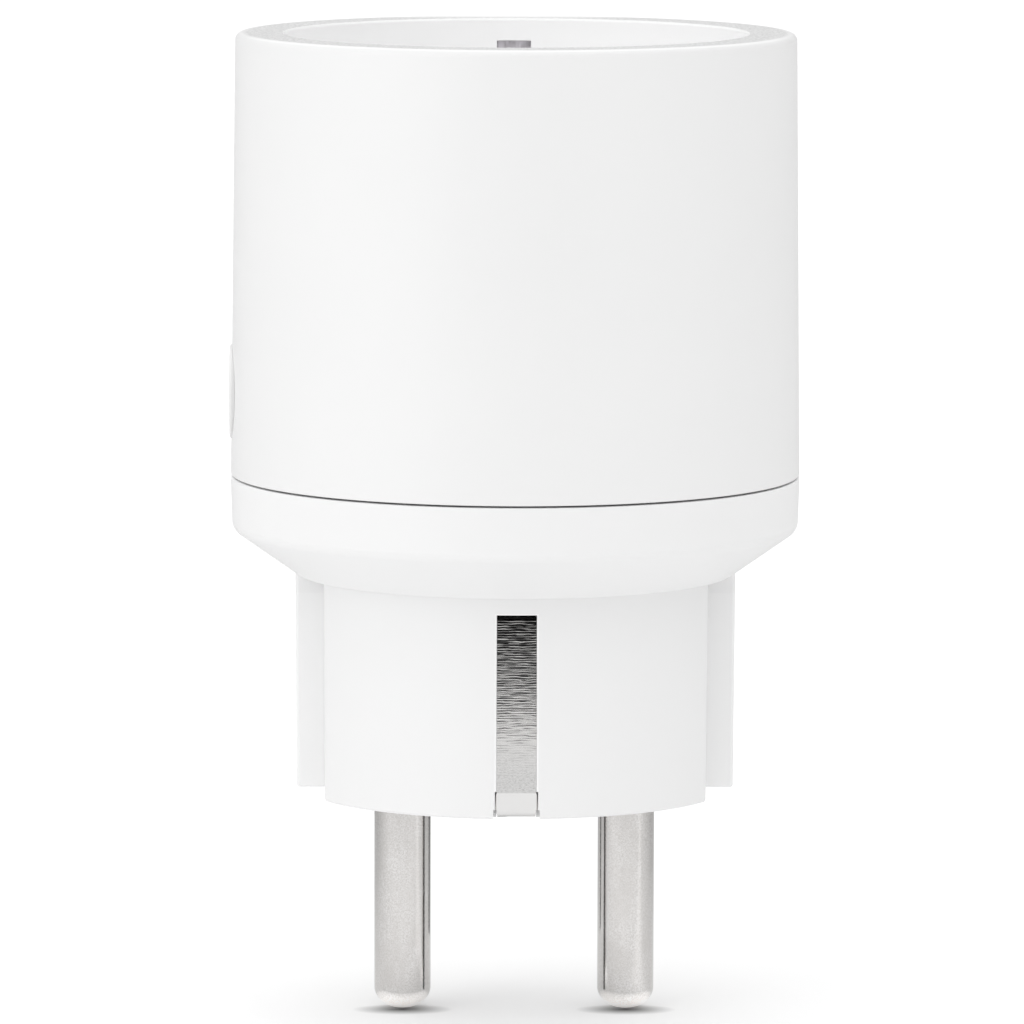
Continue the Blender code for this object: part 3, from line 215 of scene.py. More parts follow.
def rounded_path(points, radius, closed=False):
    """A path of straight stretches with every inner corner rounded."""
    path = []
    last = len(points) - 1
    for i, point in enumerate(points):
        if not closed and i in (0, last):
            path.append(tuple(point))
            continue
        path += fillet(points[i - 1], point, points[(i + 1) % len(points)], radius)
    return path


# ---------------------------------------------------------------- mesh tools


def add_object(name, mesh):
    """Put a mesh in the scene."""
    obj = bpy.data.objects.new(name, mesh)
    bpy.context.scene.collection.objects.link(obj)
    return obj


def lathe(name, profile, steps=SHELL_STEPS, closed=False):
    """A turned solid from (radius, z) points that run down its outer side."""
    verts, rings, faces = [], [], []
    for radius, z in profile:
        if radius < 1e-9:
            rings.append([len(verts)] * steps)
            verts.append((0.0, 0.0, z))
            continue
        rings.append(list(range(len(verts), len(verts) + steps)))
        for j in range(steps):
            angle = math.tau * j / steps
            verts.append((radius * math.cos(angle), radius * math.sin(angle), z))
    pairs = list(zip(rings, rings[1:]))
    if closed:
        pairs.append((rings[-1], rings[0]))
    for upper, lower in pairs:
        for j in range(steps):
            k = (j + 1) % steps
            corners = [upper[j], lower[j], lower[k], upper[k]]
            faces.append(list(dict.fromkeys(corners)))
    mesh = bpy.data.meshes.new(name)
    mesh.from_pydata(verts, [], [face for face in faces if len(face) > 2])
    mesh.validate()
    return add_object(name, mesh)


def mesh_of(obj, name):
    """The object's evaluated shape as a welded mesh in the frame's coordinates."""
    bpy.context.view_layer.update()
    evaluated = obj.evaluated_get(bpy.context.evaluated_depsgraph_get())
    mesh = bpy.data.meshes.new_from_object(evaluated)
    mesh.name = name
    mesh.transform(obj.matrix_world)
    shape = bmesh.new()
    shape.from_mesh(mesh)
    bmesh.ops.remove_doubles(shape, verts=shape.verts, dist=1e-7)
    bmesh.ops.recalc_face_normals(shape, faces=shape.faces)
    shape.to_mesh(mesh)
    shape.free()
    return mesh


def settle(obj):
    """Replace an object by its evaluated mesh, with no modifiers and no transform left."""
    name = obj.name
    mesh = mesh_of(obj, name)
    bpy.data.objects.remove(obj, do_unlink=True)
    return add_object(name, mesh)


def prism(name, outline, low_z, high_z, rounding=0.0):
    """An upright prism on a closed (x, y) outline, with rounded top and bottom edges."""
    curve = bpy.data.curves.new(name, "CURVE")
    curve.dimensions = "2D"
    curve.fill_mode = "BOTH"
    curve.extrude = (high_z - low_z) / 2 - rounding
    curve.bevel_depth = rounding
    curve.bevel_resolution = 3
    curve.offset = -rounding
    spline = curve.splines.new("POLY")
    spline.points.add(len(outline) - 1)
    for point, (x, y) in zip(spline.points, outline):
        point.co = (x, y, 0.0, 1.0)
    spline.use_cyclic_u = True
    obj = add_object(name, curve)
    obj.location.z = (low_z + high_z) / 2
    return settle(obj)


def block(name, low, high, rounding=0.0, segments=3):
    """A block between two opposite corners, with rounded edges."""
    low, high = Vector(low), Vector(high)
    mesh = bpy.data.meshes.new(name)
    shape = bmesh.new()
    bmesh.ops.create_cube(shape, size=1.0)
    bmesh.ops.scale(shape, vec=high - low, verts=shape.verts)
    bmesh.ops.translate(shape, vec=(low + high) / 2, verts=shape.verts)
    if rounding:
        bmesh.ops.bevel(
            shape,
            geom=shape.edges[:],
            offset=rounding,
            segments=segments,
            affect="EDGES",
            profile=0.5,
        )
    shape.to_mesh(mesh)
    shape.free()
    return add_object(name, mesh)


def turn_to_x(obj, height):
    """Stand a piece turned about Z on the -X side: its +Z end looks along -X at that height."""
    obj.data.transform(Matrix.Translation((0, 0, height)) @ Matrix.Rotation(-math.pi / 2, 4, "Y"))
    return obj


def combine(obj, operation, tools):
    """Join tools to obj (UNION) or cut them out of it (DIFFERENCE), and use them up."""
    for tool in tools:
        step = obj.modifiers.new("combine", "BOOLEAN")
        step.operation = operation
        step.solver = "EXACT"
        step.object = tool
    obj = settle(obj)
    for tool in tools:
        bpy.data.objects.remove(tool, do_unlink=True)
    return obj


def sweep_strip(name, path, width, thickness, edge, turn=0.0, reach=None):
    """Sheet metal along a (y, z) path, as wide as width in X, with rounded long edges.

    Reach can say how much further each point's long edges stand out."""
    half_w, half_t = width / 2, thickness / 2
    corner = [(half_w, -half_t), (half_w, half_t), (-half_w, half_t), (-half_w, -half_t)]
    section = rounded_path(corner, edge, closed=True)
    verts, faces = [], []
    count = len(section)
    for i, (y, z) in enumerate(path):
        before, after = Vector(path[max(i - 1, 0)]), Vector(path[min(i + 1, len(path) - 1)])
        along = (after - before).normalized()
        normal = Vector((-along.y, along.x))
        further = reach[i] if reach else 0.0
        for across, out in section:
            verts.append((across + math.copysign(further, across), y + normal.x * out, z + normal.y * out))
    for i in range(len(path) - 1):
        for j in range(count):
            k = (j + 1) % count
            faces.append((i * count + j, i * count + k, (i + 1) * count + k, (i + 1) * count + j))
    faces.append(tuple(range(count)))
    faces.append(tuple(reversed(range((len(path) - 1) * count, len(path) * count))))
    mesh = bpy.data.meshes.new(name)
    mesh.from_pydata(verts, [], faces)
    shape = bmesh.new()
    shape.from_mesh(mesh)
    bmesh.ops.recalc_face_normals(shape, faces=shape.faces)
    shape.to_mesh(mesh)
    shape.free()
    mesh.transform(Matrix.Rotation(turn, 4, "Z"))
    return add_object(name, mesh)


def finish_piece(obj, body, node, material, sharp=28.0):
    """Shade a new piece, put it on its body and let it stand for its CAD node."""
    obj.data.shade_smooth()
    obj.data.set_sharp_from_angle(angle=math.radians(sharp))
    weighted = obj.modifiers.new("even_normals", "WEIGHTED_NORMAL")
    weighted.keep_sharp = True
    obj.data.materials.clear()
    obj.data.materials.append(material)
    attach(obj, body)
    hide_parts(node)
    return obj


# ---------------------------------------------------------------- material tools


class Recipe:
    """A node material with a Principled shader, built one node at a time."""

    def __init__(self, name, colour, roughness, metallic=0.0):
        self.material = bpy.data.materials.new(name)
        self.material.use_nodes = True
        self.tree = self.material.node_tree
        self.shader = self.tree.nodes["Principled BSDF"]
        self.shader.inputs["Base Color"].default_value = (*colour, 1.0)
        self.shader.inputs["Roughness"].default_value = roughness
        self.shader.inputs["Metallic"].default_value = metallic
        self.place = self.tree.nodes.new("ShaderNodeTexCoord").outputs["Object"]

    def node(self, kind, inputs=None, **settings):
        """Add a node, set its properties and fill or link its inputs."""
        made = self.tree.nodes.new(kind)
        for key, value in settings.items():
            setattr(made, key, value)
        for key, value in (inputs or {}).items():
            if isinstance(value, bpy.types.NodeSocket):
                self.tree.links.new(value, made.inputs[key])
            else:
                made.inputs[key].default_value = value
        return made

    def feed(self, name, socket):
        """Link a socket into one of the shader's inputs."""
        self.tree.links.new(socket, self.shader.inputs[name])

    def stretched(self, scale):
        """Object coordinates scaled along each axis, for grain that runs one way."""
        return self.node("ShaderNodeMapping", {"Vector": self.place, "Scale": scale}).outputs["Vector"]

    def noise(self, size, detail=2.0, vector=None, roughness=0.5):
        """Noise from 0 to 1 whose blotches are about size across."""
        inputs = {"Vector": vector or self.place, "Scale": 1 / size, "Detail": detail, "Roughness": roughness}
        return self.node("ShaderNodeTexNoise", inputs).outputs["Fac"]

    def spread(self, value, low, high, from_low=0.3, from_high=0.7):
        """Map a value range to another one."""
        inputs = {"Value": value, "From Min": from_low, "From Max": from_high, "To Min": low, "To Max": high}
        return self.node("ShaderNodeMapRange", inputs).outputs["Result"]

    def math(self, operation, first, second):
        """One arithmetic step on two values."""
        made = self.node("ShaderNodeMath", {0: first, 1: second}, operation=operation)
        return made.outputs["Value"]

    def mix(self, share, first, second):
        """A colour between two colours."""
        made = self.node("ShaderNodeMix", data_type="RGBA")
        for index, value in ((0, share), (6, first), (7, second)):
            if isinstance(value, bpy.types.NodeSocket):
                self.tree.links.new(value, made.inputs[index])
            elif index == 0:
                made.inputs[index].default_value = value
            else:
                made.inputs[index].default_value = (*value, 1.0)
        return made.outputs[2]

    def bump(self, height, depth, strength=1.0, onto=None):
        """Feed a relief of the given depth into the shader, on top of another one."""
        inputs = {"Height": height, "Distance": depth, "Strength": strength}
        if onto is not None:
            inputs["Normal"] = onto
        made = self.node("ShaderNodeBump", inputs)
        self.feed("Normal", made.outputs["Normal"])
        return made.outputs["Normal"]

    def axis(self, name):
        """One coordinate of the point that is shaded: X, Y or Z."""
        return self.node("ShaderNodeSeparateXYZ", {"Vector": self.place}).outputs[name]


# ---------------------------------------------------------------- materials


def white_plastic(name, tone=0.87):
    """Satin white moulding with fine spark-eroded grain on a darker, speckled grey rim. Painted light: the recess,
    the band under the seam and the plug's side ribs are painted lighter, painted highlights outline the strip slots
    and lighten the rim's back, and painted shade darkens the rim's outer rounding.
    """
    white = Recipe(name, (tone, tone, tone), 0.4)
    cloud = white.noise(9 * MM, 3.0)
    base = white.mix(cloud, (tone * 0.985,) * 3, (tone * 1.005, tone * 1.005, tone * 1.003))
    spot = white.node("ShaderNodeSeparateXYZ", {"Vector": white.place}).outputs
    flat = white.stretched((1.0, 1.0, 0.0))
    radius = white.node("ShaderNodeVectorMath", {0: flat}, operation="LENGTH").outputs["Value"]
    # Painted light: the recess is painted lighter, to make up for the shade inside it.
    inside = white.math("LESS_THAN", radius, SOCKET_RADIUS + 0.05 * MM)
    recess = white.math("MULTIPLY", inside, white.math("GREATER_THAN", spot["Z"], SOCKET_FLOOR_Z - 1 * MM))
    base = white.mix(recess, base, (tone * 1.085,) * 3)
    aside = white.math("ABSOLUTE", spot["X"], 0.0)
    # Painted light: below the seam the white is painted a little lighter, more so towards the left and right sides.
    under_seam = white.spread(spot["Z"], 1.0, 0.0, BAND_TOP_Z, BAND_TOP_Z + 0.05 * MM)
    lower = white.mix(white.spread(aside, 0.0, 1.0, 17 * MM, 23 * MM), (tone * 1.01,) * 3, (tone * 1.037,) * 3)
    base = white.mix(under_seam, base, lower)
    # Painted light: the plug's side ribs are painted lighter.
    below = white.math("LESS_THAN", spot["Z"], PLUG_SLOT_TOP_Z + 0.12 * MM)
    rib = white.math("MULTIPLY", white.math("GREATER_THAN", aside, PLUG_FLAT_X + 0.2 * MM), below)
    base = white.mix(rib, base, (tone * 1.035,) * 3)
    # Painted highlight: a lighter outline along the edges of each earth strip slot.
    slot = white.math("MULTIPLY", white.math("LESS_THAN", aside, PLUG_SLOT_WIDTH / 2 + 0.16 * MM), below)
    slot = white.math("MULTIPLY", slot, white.math("GREATER_THAN", radius, PLUG_CHANNEL_Y - 0.5 * MM))
    base = white.mix(slot, base, (tone * 1.1,) * 3)
    normal = white.node("ShaderNodeNewGeometry").outputs["Normal"]
    up = white.node("ShaderNodeSeparateXYZ", {"Vector": normal}).outputs["Z"]
    upward = white.spread(up, 0.0, 1.0, 0.85, 0.99)
    # Painted shade: the rim's outer rounding is painted darker to dim its highlight, less so at the front.
    edge = white.math("GREATER_THAN", spot["Z"], RIM_Z - RIM_ROUNDING - 0.3 * MM)
    edge = white.math("MULTIPLY", edge, white.math("GREATER_THAN", radius, RIM_RADIUS - 1.5 * MM))
    edge = white.math("MULTIPLY", edge, white.spread(up, 0.0, 1.0, 0.1, 0.8))
    lit_front = white.spread(spot["Y"], 1.0, 0.0, -10 * MM, -5 * MM)
    front = white.mix(white.spread(up, 0.0, 1.0, 0.74, 0.88), (tone * 0.89,) * 3, (tone * 0.97,) * 3)
    base = white.mix(edge, base, white.mix(lit_front, (tone * 0.87,) * 3, front))
    high = white.spread(spot["Z"], 0.0, 1.0, RIM_Z - 0.7 * MM, RIM_Z - 0.1 * MM)
    outward = white.spread(radius, 1.0, 0.0, RIM_RADIUS - 1.0 * MM, RIM_RADIUS - 0.45 * MM)
    rim = white.math("MULTIPLY", white.math("MULTIPLY", upward, high), outward)
    speckle = white.spread(white.noise(0.25 * MM, 3.0, roughness=0.75), 0.0, 1.0, 0.40, 0.60)
    dark = white.mix(speckle, (tone * 0.57,) * 3, (tone * 0.80,) * 3)
    # Painted highlight: the rim's speckled grey is painted lighter towards its back.
    rear = white.spread(spot["Y"], 0.0, 0.9, 19.5 * MM, 22.0 * MM)
    white.feed("Base Color", white.mix(rim, base, white.mix(rear, dark, (tone,) * 3)))
    sheen = white.spread(white.noise(1.6 * MM, 3.0), 0.36, 0.44)
    white.feed("Roughness", white.math("ADD", sheen, white.math("MULTIPLY", rim, 0.2)))
    fine = white.noise(0.12 * MM, 2.0)
    depth = white.math("ADD", white.math("MULTIPLY", rim, 0.9), 0.1)
    relief = white.math("ADD", fine, white.math("MULTIPLY", speckle, 0.5))
    white.bump(white.math("MULTIPLY", relief, depth), 0.012 * MM, 0.6)
    return white.material


def nickel_pin():
    """Satin nickel on turned brass: fine grain, soft blotches and faint lengthwise streaks."""
    nickel = Recipe("nickel_pin", (0.74, 0.72, 0.71), 0.2, 1.0)
    grain = nickel.noise(0.12 * MM, 2.0, roughness=0.6)
    blotch = nickel.noise(1.3 * MM, 4.0, nickel.stretched((1.0, 1.0, 0.5)), 0.6)
    warm = nickel.mix(nickel.spread(blotch, 0.0, 1.0, 0.35, 0.65), (0.638, 0.622, 0.610), (0.722, 0.710, 0.703))
    spots = nickel.spread(grain, 0.0, 1.0, 0.38, 0.60)
    nickel.feed("Base Color", nickel.mix(spots, (0.575, 0.557, 0.542), warm))
    streak = nickel.noise(0.35 * MM, 3.0, nickel.stretched((1.0, 1.0, 0.05)))
    rough = nickel.math("ADD", nickel.spread(grain, 0.08, 0.16), nickel.spread(streak, 0.0, 0.04))
    nickel.feed("Roughness", rough)
    relief = nickel.math("ADD", grain, nickel.math("MULTIPLY", streak, 0.4))
    nickel.bump(relief, 0.006 * MM, 0.5)
    return nickel.material


def brushed_strip():
    """Plated strip with fine creases across it, dense at the top and fading towards the foot. Painted reflection
    and shade make the top dark and draw the creases as light ridges and dark grooves; the lugs get painted shade, a
    painted shadow lies under the slot's top, and the foot below the fold is painted lighter as a painted highlight.
    """
    strip = Recipe("brushed_strip", (0.60, 0.595, 0.59), 0.16, 1.0)
    spot = strip.node("ShaderNodeSeparateXYZ", {"Vector": strip.place}).outputs
    wavy = strip.math("MULTIPLY", strip.noise(0.8 * MM, 1.0), 0.11 * MM)
    along = strip.math("ADD", strip.math("MULTIPLY", spot["X"], 0.06), strip.math("MULTIPLY", wavy, 0.4))
    level = strip.math("ADD", spot["Z"], wavy)
    bent = strip.node(
        "ShaderNodeCombineXYZ", {"X": strip.math("ADD", along, 0.31 * MM), "Y": 0.0, "Z": level}
    ).outputs["Vector"]
    lines = strip.noise(0.1 * MM, 1.5, bent, 0.6)
    wave = strip.math("SINE", strip.math("MULTIPLY", level, math.tau / (0.21 * MM)), 0.0)
    lines = strip.math("ADD", lines, strip.math("MULTIPLY", wave, 0.1))
    low, high = 5.0 * MM, 16.5 * MM
    top = strip.spread(spot["Z"], 0.0, 1.0, low, high)
    strip.bump(strip.math("MULTIPLY", lines, strip.math("ADD", top, 0.01)), 0.03 * MM, 1.0)
    cut = strip.math("ADD", lines, strip.spread(top, 0.14, -0.03, 0.0, 0.9))
    ridge = strip.spread(cut, 0.0, 1.0, 0.45, 0.55)
    # Painted reflection and shade: the creases are coloured as light ridges and dark grooves, the ridges dimmer and
    # the grooves nearly black towards the top.
    bright = strip.mix(strip.spread(spot["Z"], 0.0, 1.0, 10 * MM, high), (0.72, 0.71, 0.70), (0.54, 0.53, 0.52))
    groove_painted_shade = strip.mix(strip.math("POWER", top, 0.62), (0.60, 0.59, 0.585), (0.012, 0.012, 0.012))
    body = strip.mix(ridge, groove_painted_shade, bright)
    pits = strip.spread(strip.noise(0.09 * MM, 3.0, strip.stretched((0.4, 1.0, 1.0)), 0.7), 0.0, 1.0, 0.38, 0.50)
    pitted_lower = strip.mix(pits, (0.50, 0.495, 0.49), (0.66, 0.655, 0.65))
    body = strip.mix(strip.spread(spot["Z"], 0.0, 1.0, low - 2.0 * MM, low + 2.2 * MM), pitted_lower, body)
    # Painted highlight: the foot below the fold is painted lighter.
    fold = strip.spread(spot["Z"], 0.0, 1.0, STRIP_FOLD_Z + 0.05 * MM, STRIP_FOLD_Z - 0.05 * MM)
    body = strip.mix(fold, body, (0.69, 0.685, 0.68))
    # Painted shade: the lugs at the strip's edges are painted darker.
    edge = (STRIP_HIGH.x - STRIP_LOW.x) / 2
    lug = strip.spread(strip.math("ABSOLUTE", spot["X"], 0.0), 0.0, 1.0, edge, edge + 0.02 * MM)
    body = strip.mix(lug, body, (0.42, 0.405, 0.395))
    shadow = strip.spread(spot["Z"], 0.0, 1.0, PLUG_SLOT_TOP_Z - 0.45 * MM, PLUG_SLOT_TOP_Z - 0.36 * MM)
    body = strip.mix(shadow, body, (0.012, 0.012, 0.012))
    # Light bouncing off the strip sees plain grey metal without the painted reflection and shade.
    ray = strip.node("ShaderNodeLightPath").outputs
    bounced = strip.math("MAXIMUM", ray["Is Diffuse Ray"], ray["Is Glossy Ray"])
    strip.feed("Base Color", strip.mix(bounced, body, (0.85, 0.85, 0.85)))
    strip.feed("Roughness", strip.spread(lines, 0.20, 0.12))
    return strip.material


def plain_metal(name, colour, roughness, grain=0.15 * MM, run=(1.0, 1.0, 1.0)):
    """Metal with a directional grain in its colour, roughness and relief."""
    metal = Recipe(name, colour, roughness, 1.0)
    fibre = metal.noise(grain, 4.0, metal.stretched(run))
    dark = tuple(channel * 0.8 for channel in colour)
    bright = tuple(min(channel * 1.12, 1.0) for channel in colour)
    metal.feed("Base Color", metal.mix(fibre, dark, bright))
    metal.feed("Roughness", metal.spread(fibre, roughness * 0.75, roughness * 1.3))
    metal.bump(fibre, 0.01 * MM, 0.5)
    return metal.material


def moulded(name, colour, roughness, grain=0.18 * MM):
    """Moulded plastic or cast resin with a matt grain and slight unevenness."""
    plastic = Recipe(name, colour, roughness)
    fine = plastic.noise(grain, 3.0)
    cloud = plastic.noise(2.5 * MM, 3.0)
    dark = tuple(channel * 0.82 for channel in colour)
    bright = tuple(min(channel * 1.1, 1.0) for channel in colour)
    plastic.feed("Base Color", plastic.mix(cloud, dark, bright))
    plastic.feed("Roughness", plastic.spread(fine, roughness * 0.85, min(roughness * 1.2, 1.0)))
    plastic.bump(fine, 0.02 * MM, 0.5)
    return plastic.material


def circuit_board():
    """Green solder mask over copper tracks, with tinned pads on a regular pitch."""
    board = Recipe("circuit_board", (0.015, 0.11, 0.05), 0.35)
    cells = board.node(
        "ShaderNodeTexVoronoi",
        {"Vector": board.place, "Scale": 1 / (2.4 * MM), "Randomness": 0.35},
        feature="DISTANCE_TO_EDGE",
    )
    track = board.spread(cells.outputs["Distance"], 1.0, 0.0, 0.05, 0.09)
    pads = board.node(
        "ShaderNodeTexVoronoi",
        {"Vector": board.place, "Scale": 1 / (2.54 * MM), "Randomness": 0.0},
        feature="F1",
    )
    pad = board.spread(pads.outputs["Distance"], 1.0, 0.0, 0.19, 0.22)
    mask = board.mix(track, (0.012, 0.10, 0.045), (0.03, 0.19, 0.07))
    board.feed("Base Color", board.mix(pad, mask, (0.72, 0.71, 0.68)))
    board.feed("Metallic", pad)
    weave = board.noise(0.25 * MM, 2.0)
    board.feed("Roughness", board.spread(weave, 0.28, 0.45))
    board.bump(board.math("ADD", track, weave), 0.03 * MM, 0.5)
    return board.material


def copper_winding():
    """Enamelled wire laid turn by turn round the X axis."""
    copper = Recipe("copper_winding", (0.62, 0.24, 0.08), 0.3, 1.0)
    turns = copper.node(
        "ShaderNodeTexWave",
        {"Vector": copper.place, "Scale": 1 / (1.0 * MM), "Distortion": 0.6, "Detail": 1.0},
        wave_type="BANDS",
        bands_direction="X",
    ).outputs["Fac"]
    copper.feed("Base Color", copper.mix(turns, (0.30, 0.09, 0.03), (0.72, 0.30, 0.11)))
    copper.bump(turns, 0.08 * MM, 0.8)
    return copper.material


def clear_resin():
    """The lamp's milky clear resin."""
    resin = Recipe("clear_resin", (0.85, 0.87, 0.80), 0.15)
    resin.shader.inputs["Transmission Weight"].default_value = 0.5
    resin.bump(resin.noise(0.3 * MM), 0.01 * MM, 0.3)
    return resin.material


# ---------------------------------------------------------------- upper housing


def upper_profile():
    """Half section of the upper shell, from the recess floor's centre round to its underside."""
    floor_fillet = 0.5 * MM
    under_rim_z = RIM_Z - 2.7 * MM
    well = SOCKET_RADIUS + SOCKET_WALL
    bead = 0.35 * MM
    inner = SLEEVE_INNER_RADIUS
    wall_foot = (SOCKET_RADIUS - floor_fillet, SOCKET_FLOOR_Z + floor_fillet)
    lip = (SOCKET_RADIUS + LIP_ROUNDING, RIM_Z - LIP_ROUNDING)
    rim = (RIM_RADIUS - RIM_ROUNDING, RIM_Z - RIM_ROUNDING)
    foot = (SEAM_RADIUS - SEAM_ROUNDING, SLEEVE_FOOT_Z + SEAM_ROUNDING)
    points = line((0, SOCKET_FLOOR_Z), (SOCKET_RADIUS - floor_fillet, SOCKET_FLOOR_Z), 8)
    points += arc(wall_foot, floor_fillet, -90, 0, 5)
    points += line((SOCKET_RADIUS, wall_foot[1] + 1 * MM), (SOCKET_RADIUS, lip[1]), 8)
    points += arc(lip, LIP_ROUNDING, 180, 90, 5)
    points += line((lip[0] + 0.4 * MM, RIM_Z), (rim[0], RIM_Z), 4)
    points += arc(rim, RIM_ROUNDING, 90, 0, 9)
    points += line((RIM_RADIUS, rim[1]), (SEAM_RADIUS, foot[1]), 16)[1:]
    points += arc(foot, SEAM_ROUNDING, 0, -90, 5)
    points += [
        (inner, SLEEVE_FOOT_Z),
        (inner, SNAP_BEAD_Z - bead),
        (inner + SNAP_BEAD, SNAP_BEAD_Z),
        (inner, SNAP_BEAD_Z + bead),
        (inner - 0.15 * MM, under_rim_z),
        (well, under_rim_z),
        (well, FLOOR_UNDERSIDE_Z),
        (0, FLOOR_UNDERSIDE_Z),
    ]
    return points


def guide_rib(side):
    """A rib of the recess wall with a sloped lead at its top."""
    reach, root = side * GUIDE_RIB_REACH, side * (SOCKET_RADIUS + SOCKET_WALL / 2)
    half = GUIDE_RIB_WIDTH / 2
    low = (min(reach, root), -half, SOCKET_FLOOR_Z - FLOOR_THICKNESS / 2)
    rib = block("guide_rib", low, (max(reach, root), half, GUIDE_RIB_TOP_Z), 0.45 * MM, 4)
    for vertex in rib.data.vertices:
        if vertex.co.z > GUIDE_RIB_TOP_Z - 1 * MM and abs(vertex.co.x) < GUIDE_RIB_REACH + 0.6 * MM:
            vertex.co.z -= 1.2 * MM
    return rib


def under_floor_bosses():
    """The shutter's post and its cover's two screw bosses, at the places of the CAD's screws."""
    cover_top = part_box("shutter_cover")[1].z
    into_floor = FLOOR_UNDERSIDE_Z + 0.5 * MM
    post = [(0, into_floor), (1.6 * MM, into_floor), (1.6 * MM, cover_top - 0.9 * MM), (0, cover_top - 0.9 * MM)]
    pieces = [lathe("shutter_post", post, COARSE_STEPS)]
    for node in ("cover_screw_front", "cover_screw_rear"):
        low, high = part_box(node)
        foot = cover_top + 0.3 * MM
        ring = [(1.1 * MM, into_floor), (2.2 * MM, into_floor), (2.2 * MM, foot), (1.1 * MM, foot)]
        boss = lathe("cover_boss", ring, COARSE_STEPS, closed=True)
        boss.data.transform(Matrix.Translation((0, (low.y + high.y) / 2, 0)))
        pieces.append(boss)
    return pieces


def socket_pin_hole(side):
    """The tool for a pin hole with a cone-shaped, softly rounded lead-in."""
    above, below = SOCKET_FLOOR_Z + 1 * MM, FLOOR_UNDERSIDE_Z - 1 * MM
    edge = 0.2 * MM
    profile = [(0, above), (PIN_HOLE_LEAD_RADIUS + edge, above), (PIN_HOLE_LEAD_RADIUS + edge, SOCKET_FLOOR_Z)]
    profile += [(PIN_HOLE_LEAD_RADIUS + edge * 0.3, SOCKET_FLOOR_Z - edge * 0.3)]
    profile += [(PIN_HOLE_LEAD_RADIUS - edge, SOCKET_FLOOR_Z - edge)]
    profile += [(PIN_HOLE_RADIUS, SOCKET_FLOOR_Z - PIN_HOLE_LEAD_DEPTH), (PIN_HOLE_RADIUS, below), (0, below)]
    tool = lathe("pin_hole", profile, COARSE_STEPS)
    tool.data.transform(Matrix.Translation((side * PIN_X, 0, 0)))
    return tool


def clip_slot(side):
    """The tool for a slot through the recess wall and floor."""
    half = SOCKET_SLOT_WIDTH / 2
    near, far = side * 17.9 * MM, side * 21.3 * MM
    low = (-half, min(near, far), FLOOR_UNDERSIDE_Z - 1 * MM)
    return block("clip_slot", low, (half, max(near, far), CLIP_TOP_Z + 0.1 * MM))


def button_hole():
    """The tool for the button's hole, flared a little at the sleeve's outside."""
    radius = BUTTON_RADIUS + BUTTON_GAP
    flare = 0.18 * MM
    face, edge, back = 26 * MM, 24.1 * MM, 21 * MM
    profile = [(0, face), (radius + 2 * flare, face), (radius + flare, edge), (radius, edge - flare)]
    profile += [(radius, back), (0, back)]
    return turn_to_x(lathe("button_hole", profile, FINE_STEPS), BUTTON_CENTRE.z)


def make_upper_housing(material):
    """Sleeve, rim, recess and recess floor."""
    shell = lathe("upper_shell", upper_profile())
    shell = combine(shell, "UNION", [guide_rib(-1), guide_rib(1), *under_floor_bosses()])
    tools = [socket_pin_hole(-1), socket_pin_hole(1), clip_slot(-1), clip_slot(1), button_hole()]
    shell = combine(shell, "DIFFERENCE", tools)
    return finish_piece(shell, "body", "upper_housing", material)


# ---------------------------------------------------------------- lower housing


def lower_profile():
    """Half section of the band, the cone and the collar, closed at the collar's top."""
    bead = 0.3 * MM
    slope = math.atan2(CONE_TOP_Z - CONE_FOOT_Z, BAND_FOOT_RADIUS - CONE_FOOT_RADIUS)
    setback = CONE_ROUNDING * math.tan((math.pi / 2 - slope) / 2)
    corner = (BAND_FOOT_RADIUS - CONE_ROUNDING, CONE_TOP_Z + setback)
    top = (SEAM_RADIUS - SEAM_ROUNDING, BAND_TOP_Z - SEAM_ROUNDING)
    points = [
        (0, COLLAR_TOP_Z),
        (COLLAR_RADIUS - 0.3 * MM, COLLAR_TOP_Z),
        (COLLAR_RADIUS, COLLAR_TOP_Z - 0.4 * MM),
        (COLLAR_RADIUS, SNAP_BEAD_Z + bead),
        (COLLAR_RADIUS + SNAP_BEAD, SNAP_BEAD_Z),
        (COLLAR_RADIUS, SNAP_BEAD_Z - bead),
        (COLLAR_RADIUS, BAND_TOP_Z),
    ]
    points += arc(top, SEAM_ROUNDING, 90, 0, 5)
    points += line((SEAM_RADIUS, top[1] - 0.4 * MM), (BAND_FOOT_RADIUS, corner[1]), 4)
    points += arc(corner, CONE_ROUNDING, 0, math.degrees(slope) - 90, 11)
    cone_start = points[-1]
    edge = 0.18 * MM
    foot = (CONE_FOOT_RADIUS, CONE_FOOT_Z)
    points += line(cone_start, foot, 5)[1:]
    points += fillet(cone_start, foot, (0, CONE_FOOT_Z), edge)
    points.append((0, CONE_FOOT_Z))
    return points


def plug_core_outline(radius, flat_x, corner_radius):
    """The plug body's section: two arcs and two side flats, with softened corners."""
    end = math.degrees(math.asin(flat_x / radius))
    outline = []
    for middle in (270, 90):
        points = arc((0, 0), radius, middle - end, middle + end, 61)
        sign = 1 if middle == 270 else -1
        after = (points[-1][0], points[-1][1] + sign * 4 * MM)
        before = (points[0][0], points[0][1] + sign * 4 * MM)
        outline += fillet(before, points[0], points[1], corner_radius)
        outline += points[1:-1]
        outline += fillet(points[-2], points[-1], after, corner_radius)
    return outline


def lean_out(obj, top_z):
    """Give a prism the mould's draft, so that its sides lean out towards the cone."""
    for vertex in obj.data.vertices:
        growth = 1.0 + math.tan(PLUG_DRAFT) * min(vertex.co.z, top_z) / PLUG_RADIUS
        vertex.co.x *= growth
        vertex.co.y *= growth
    return obj


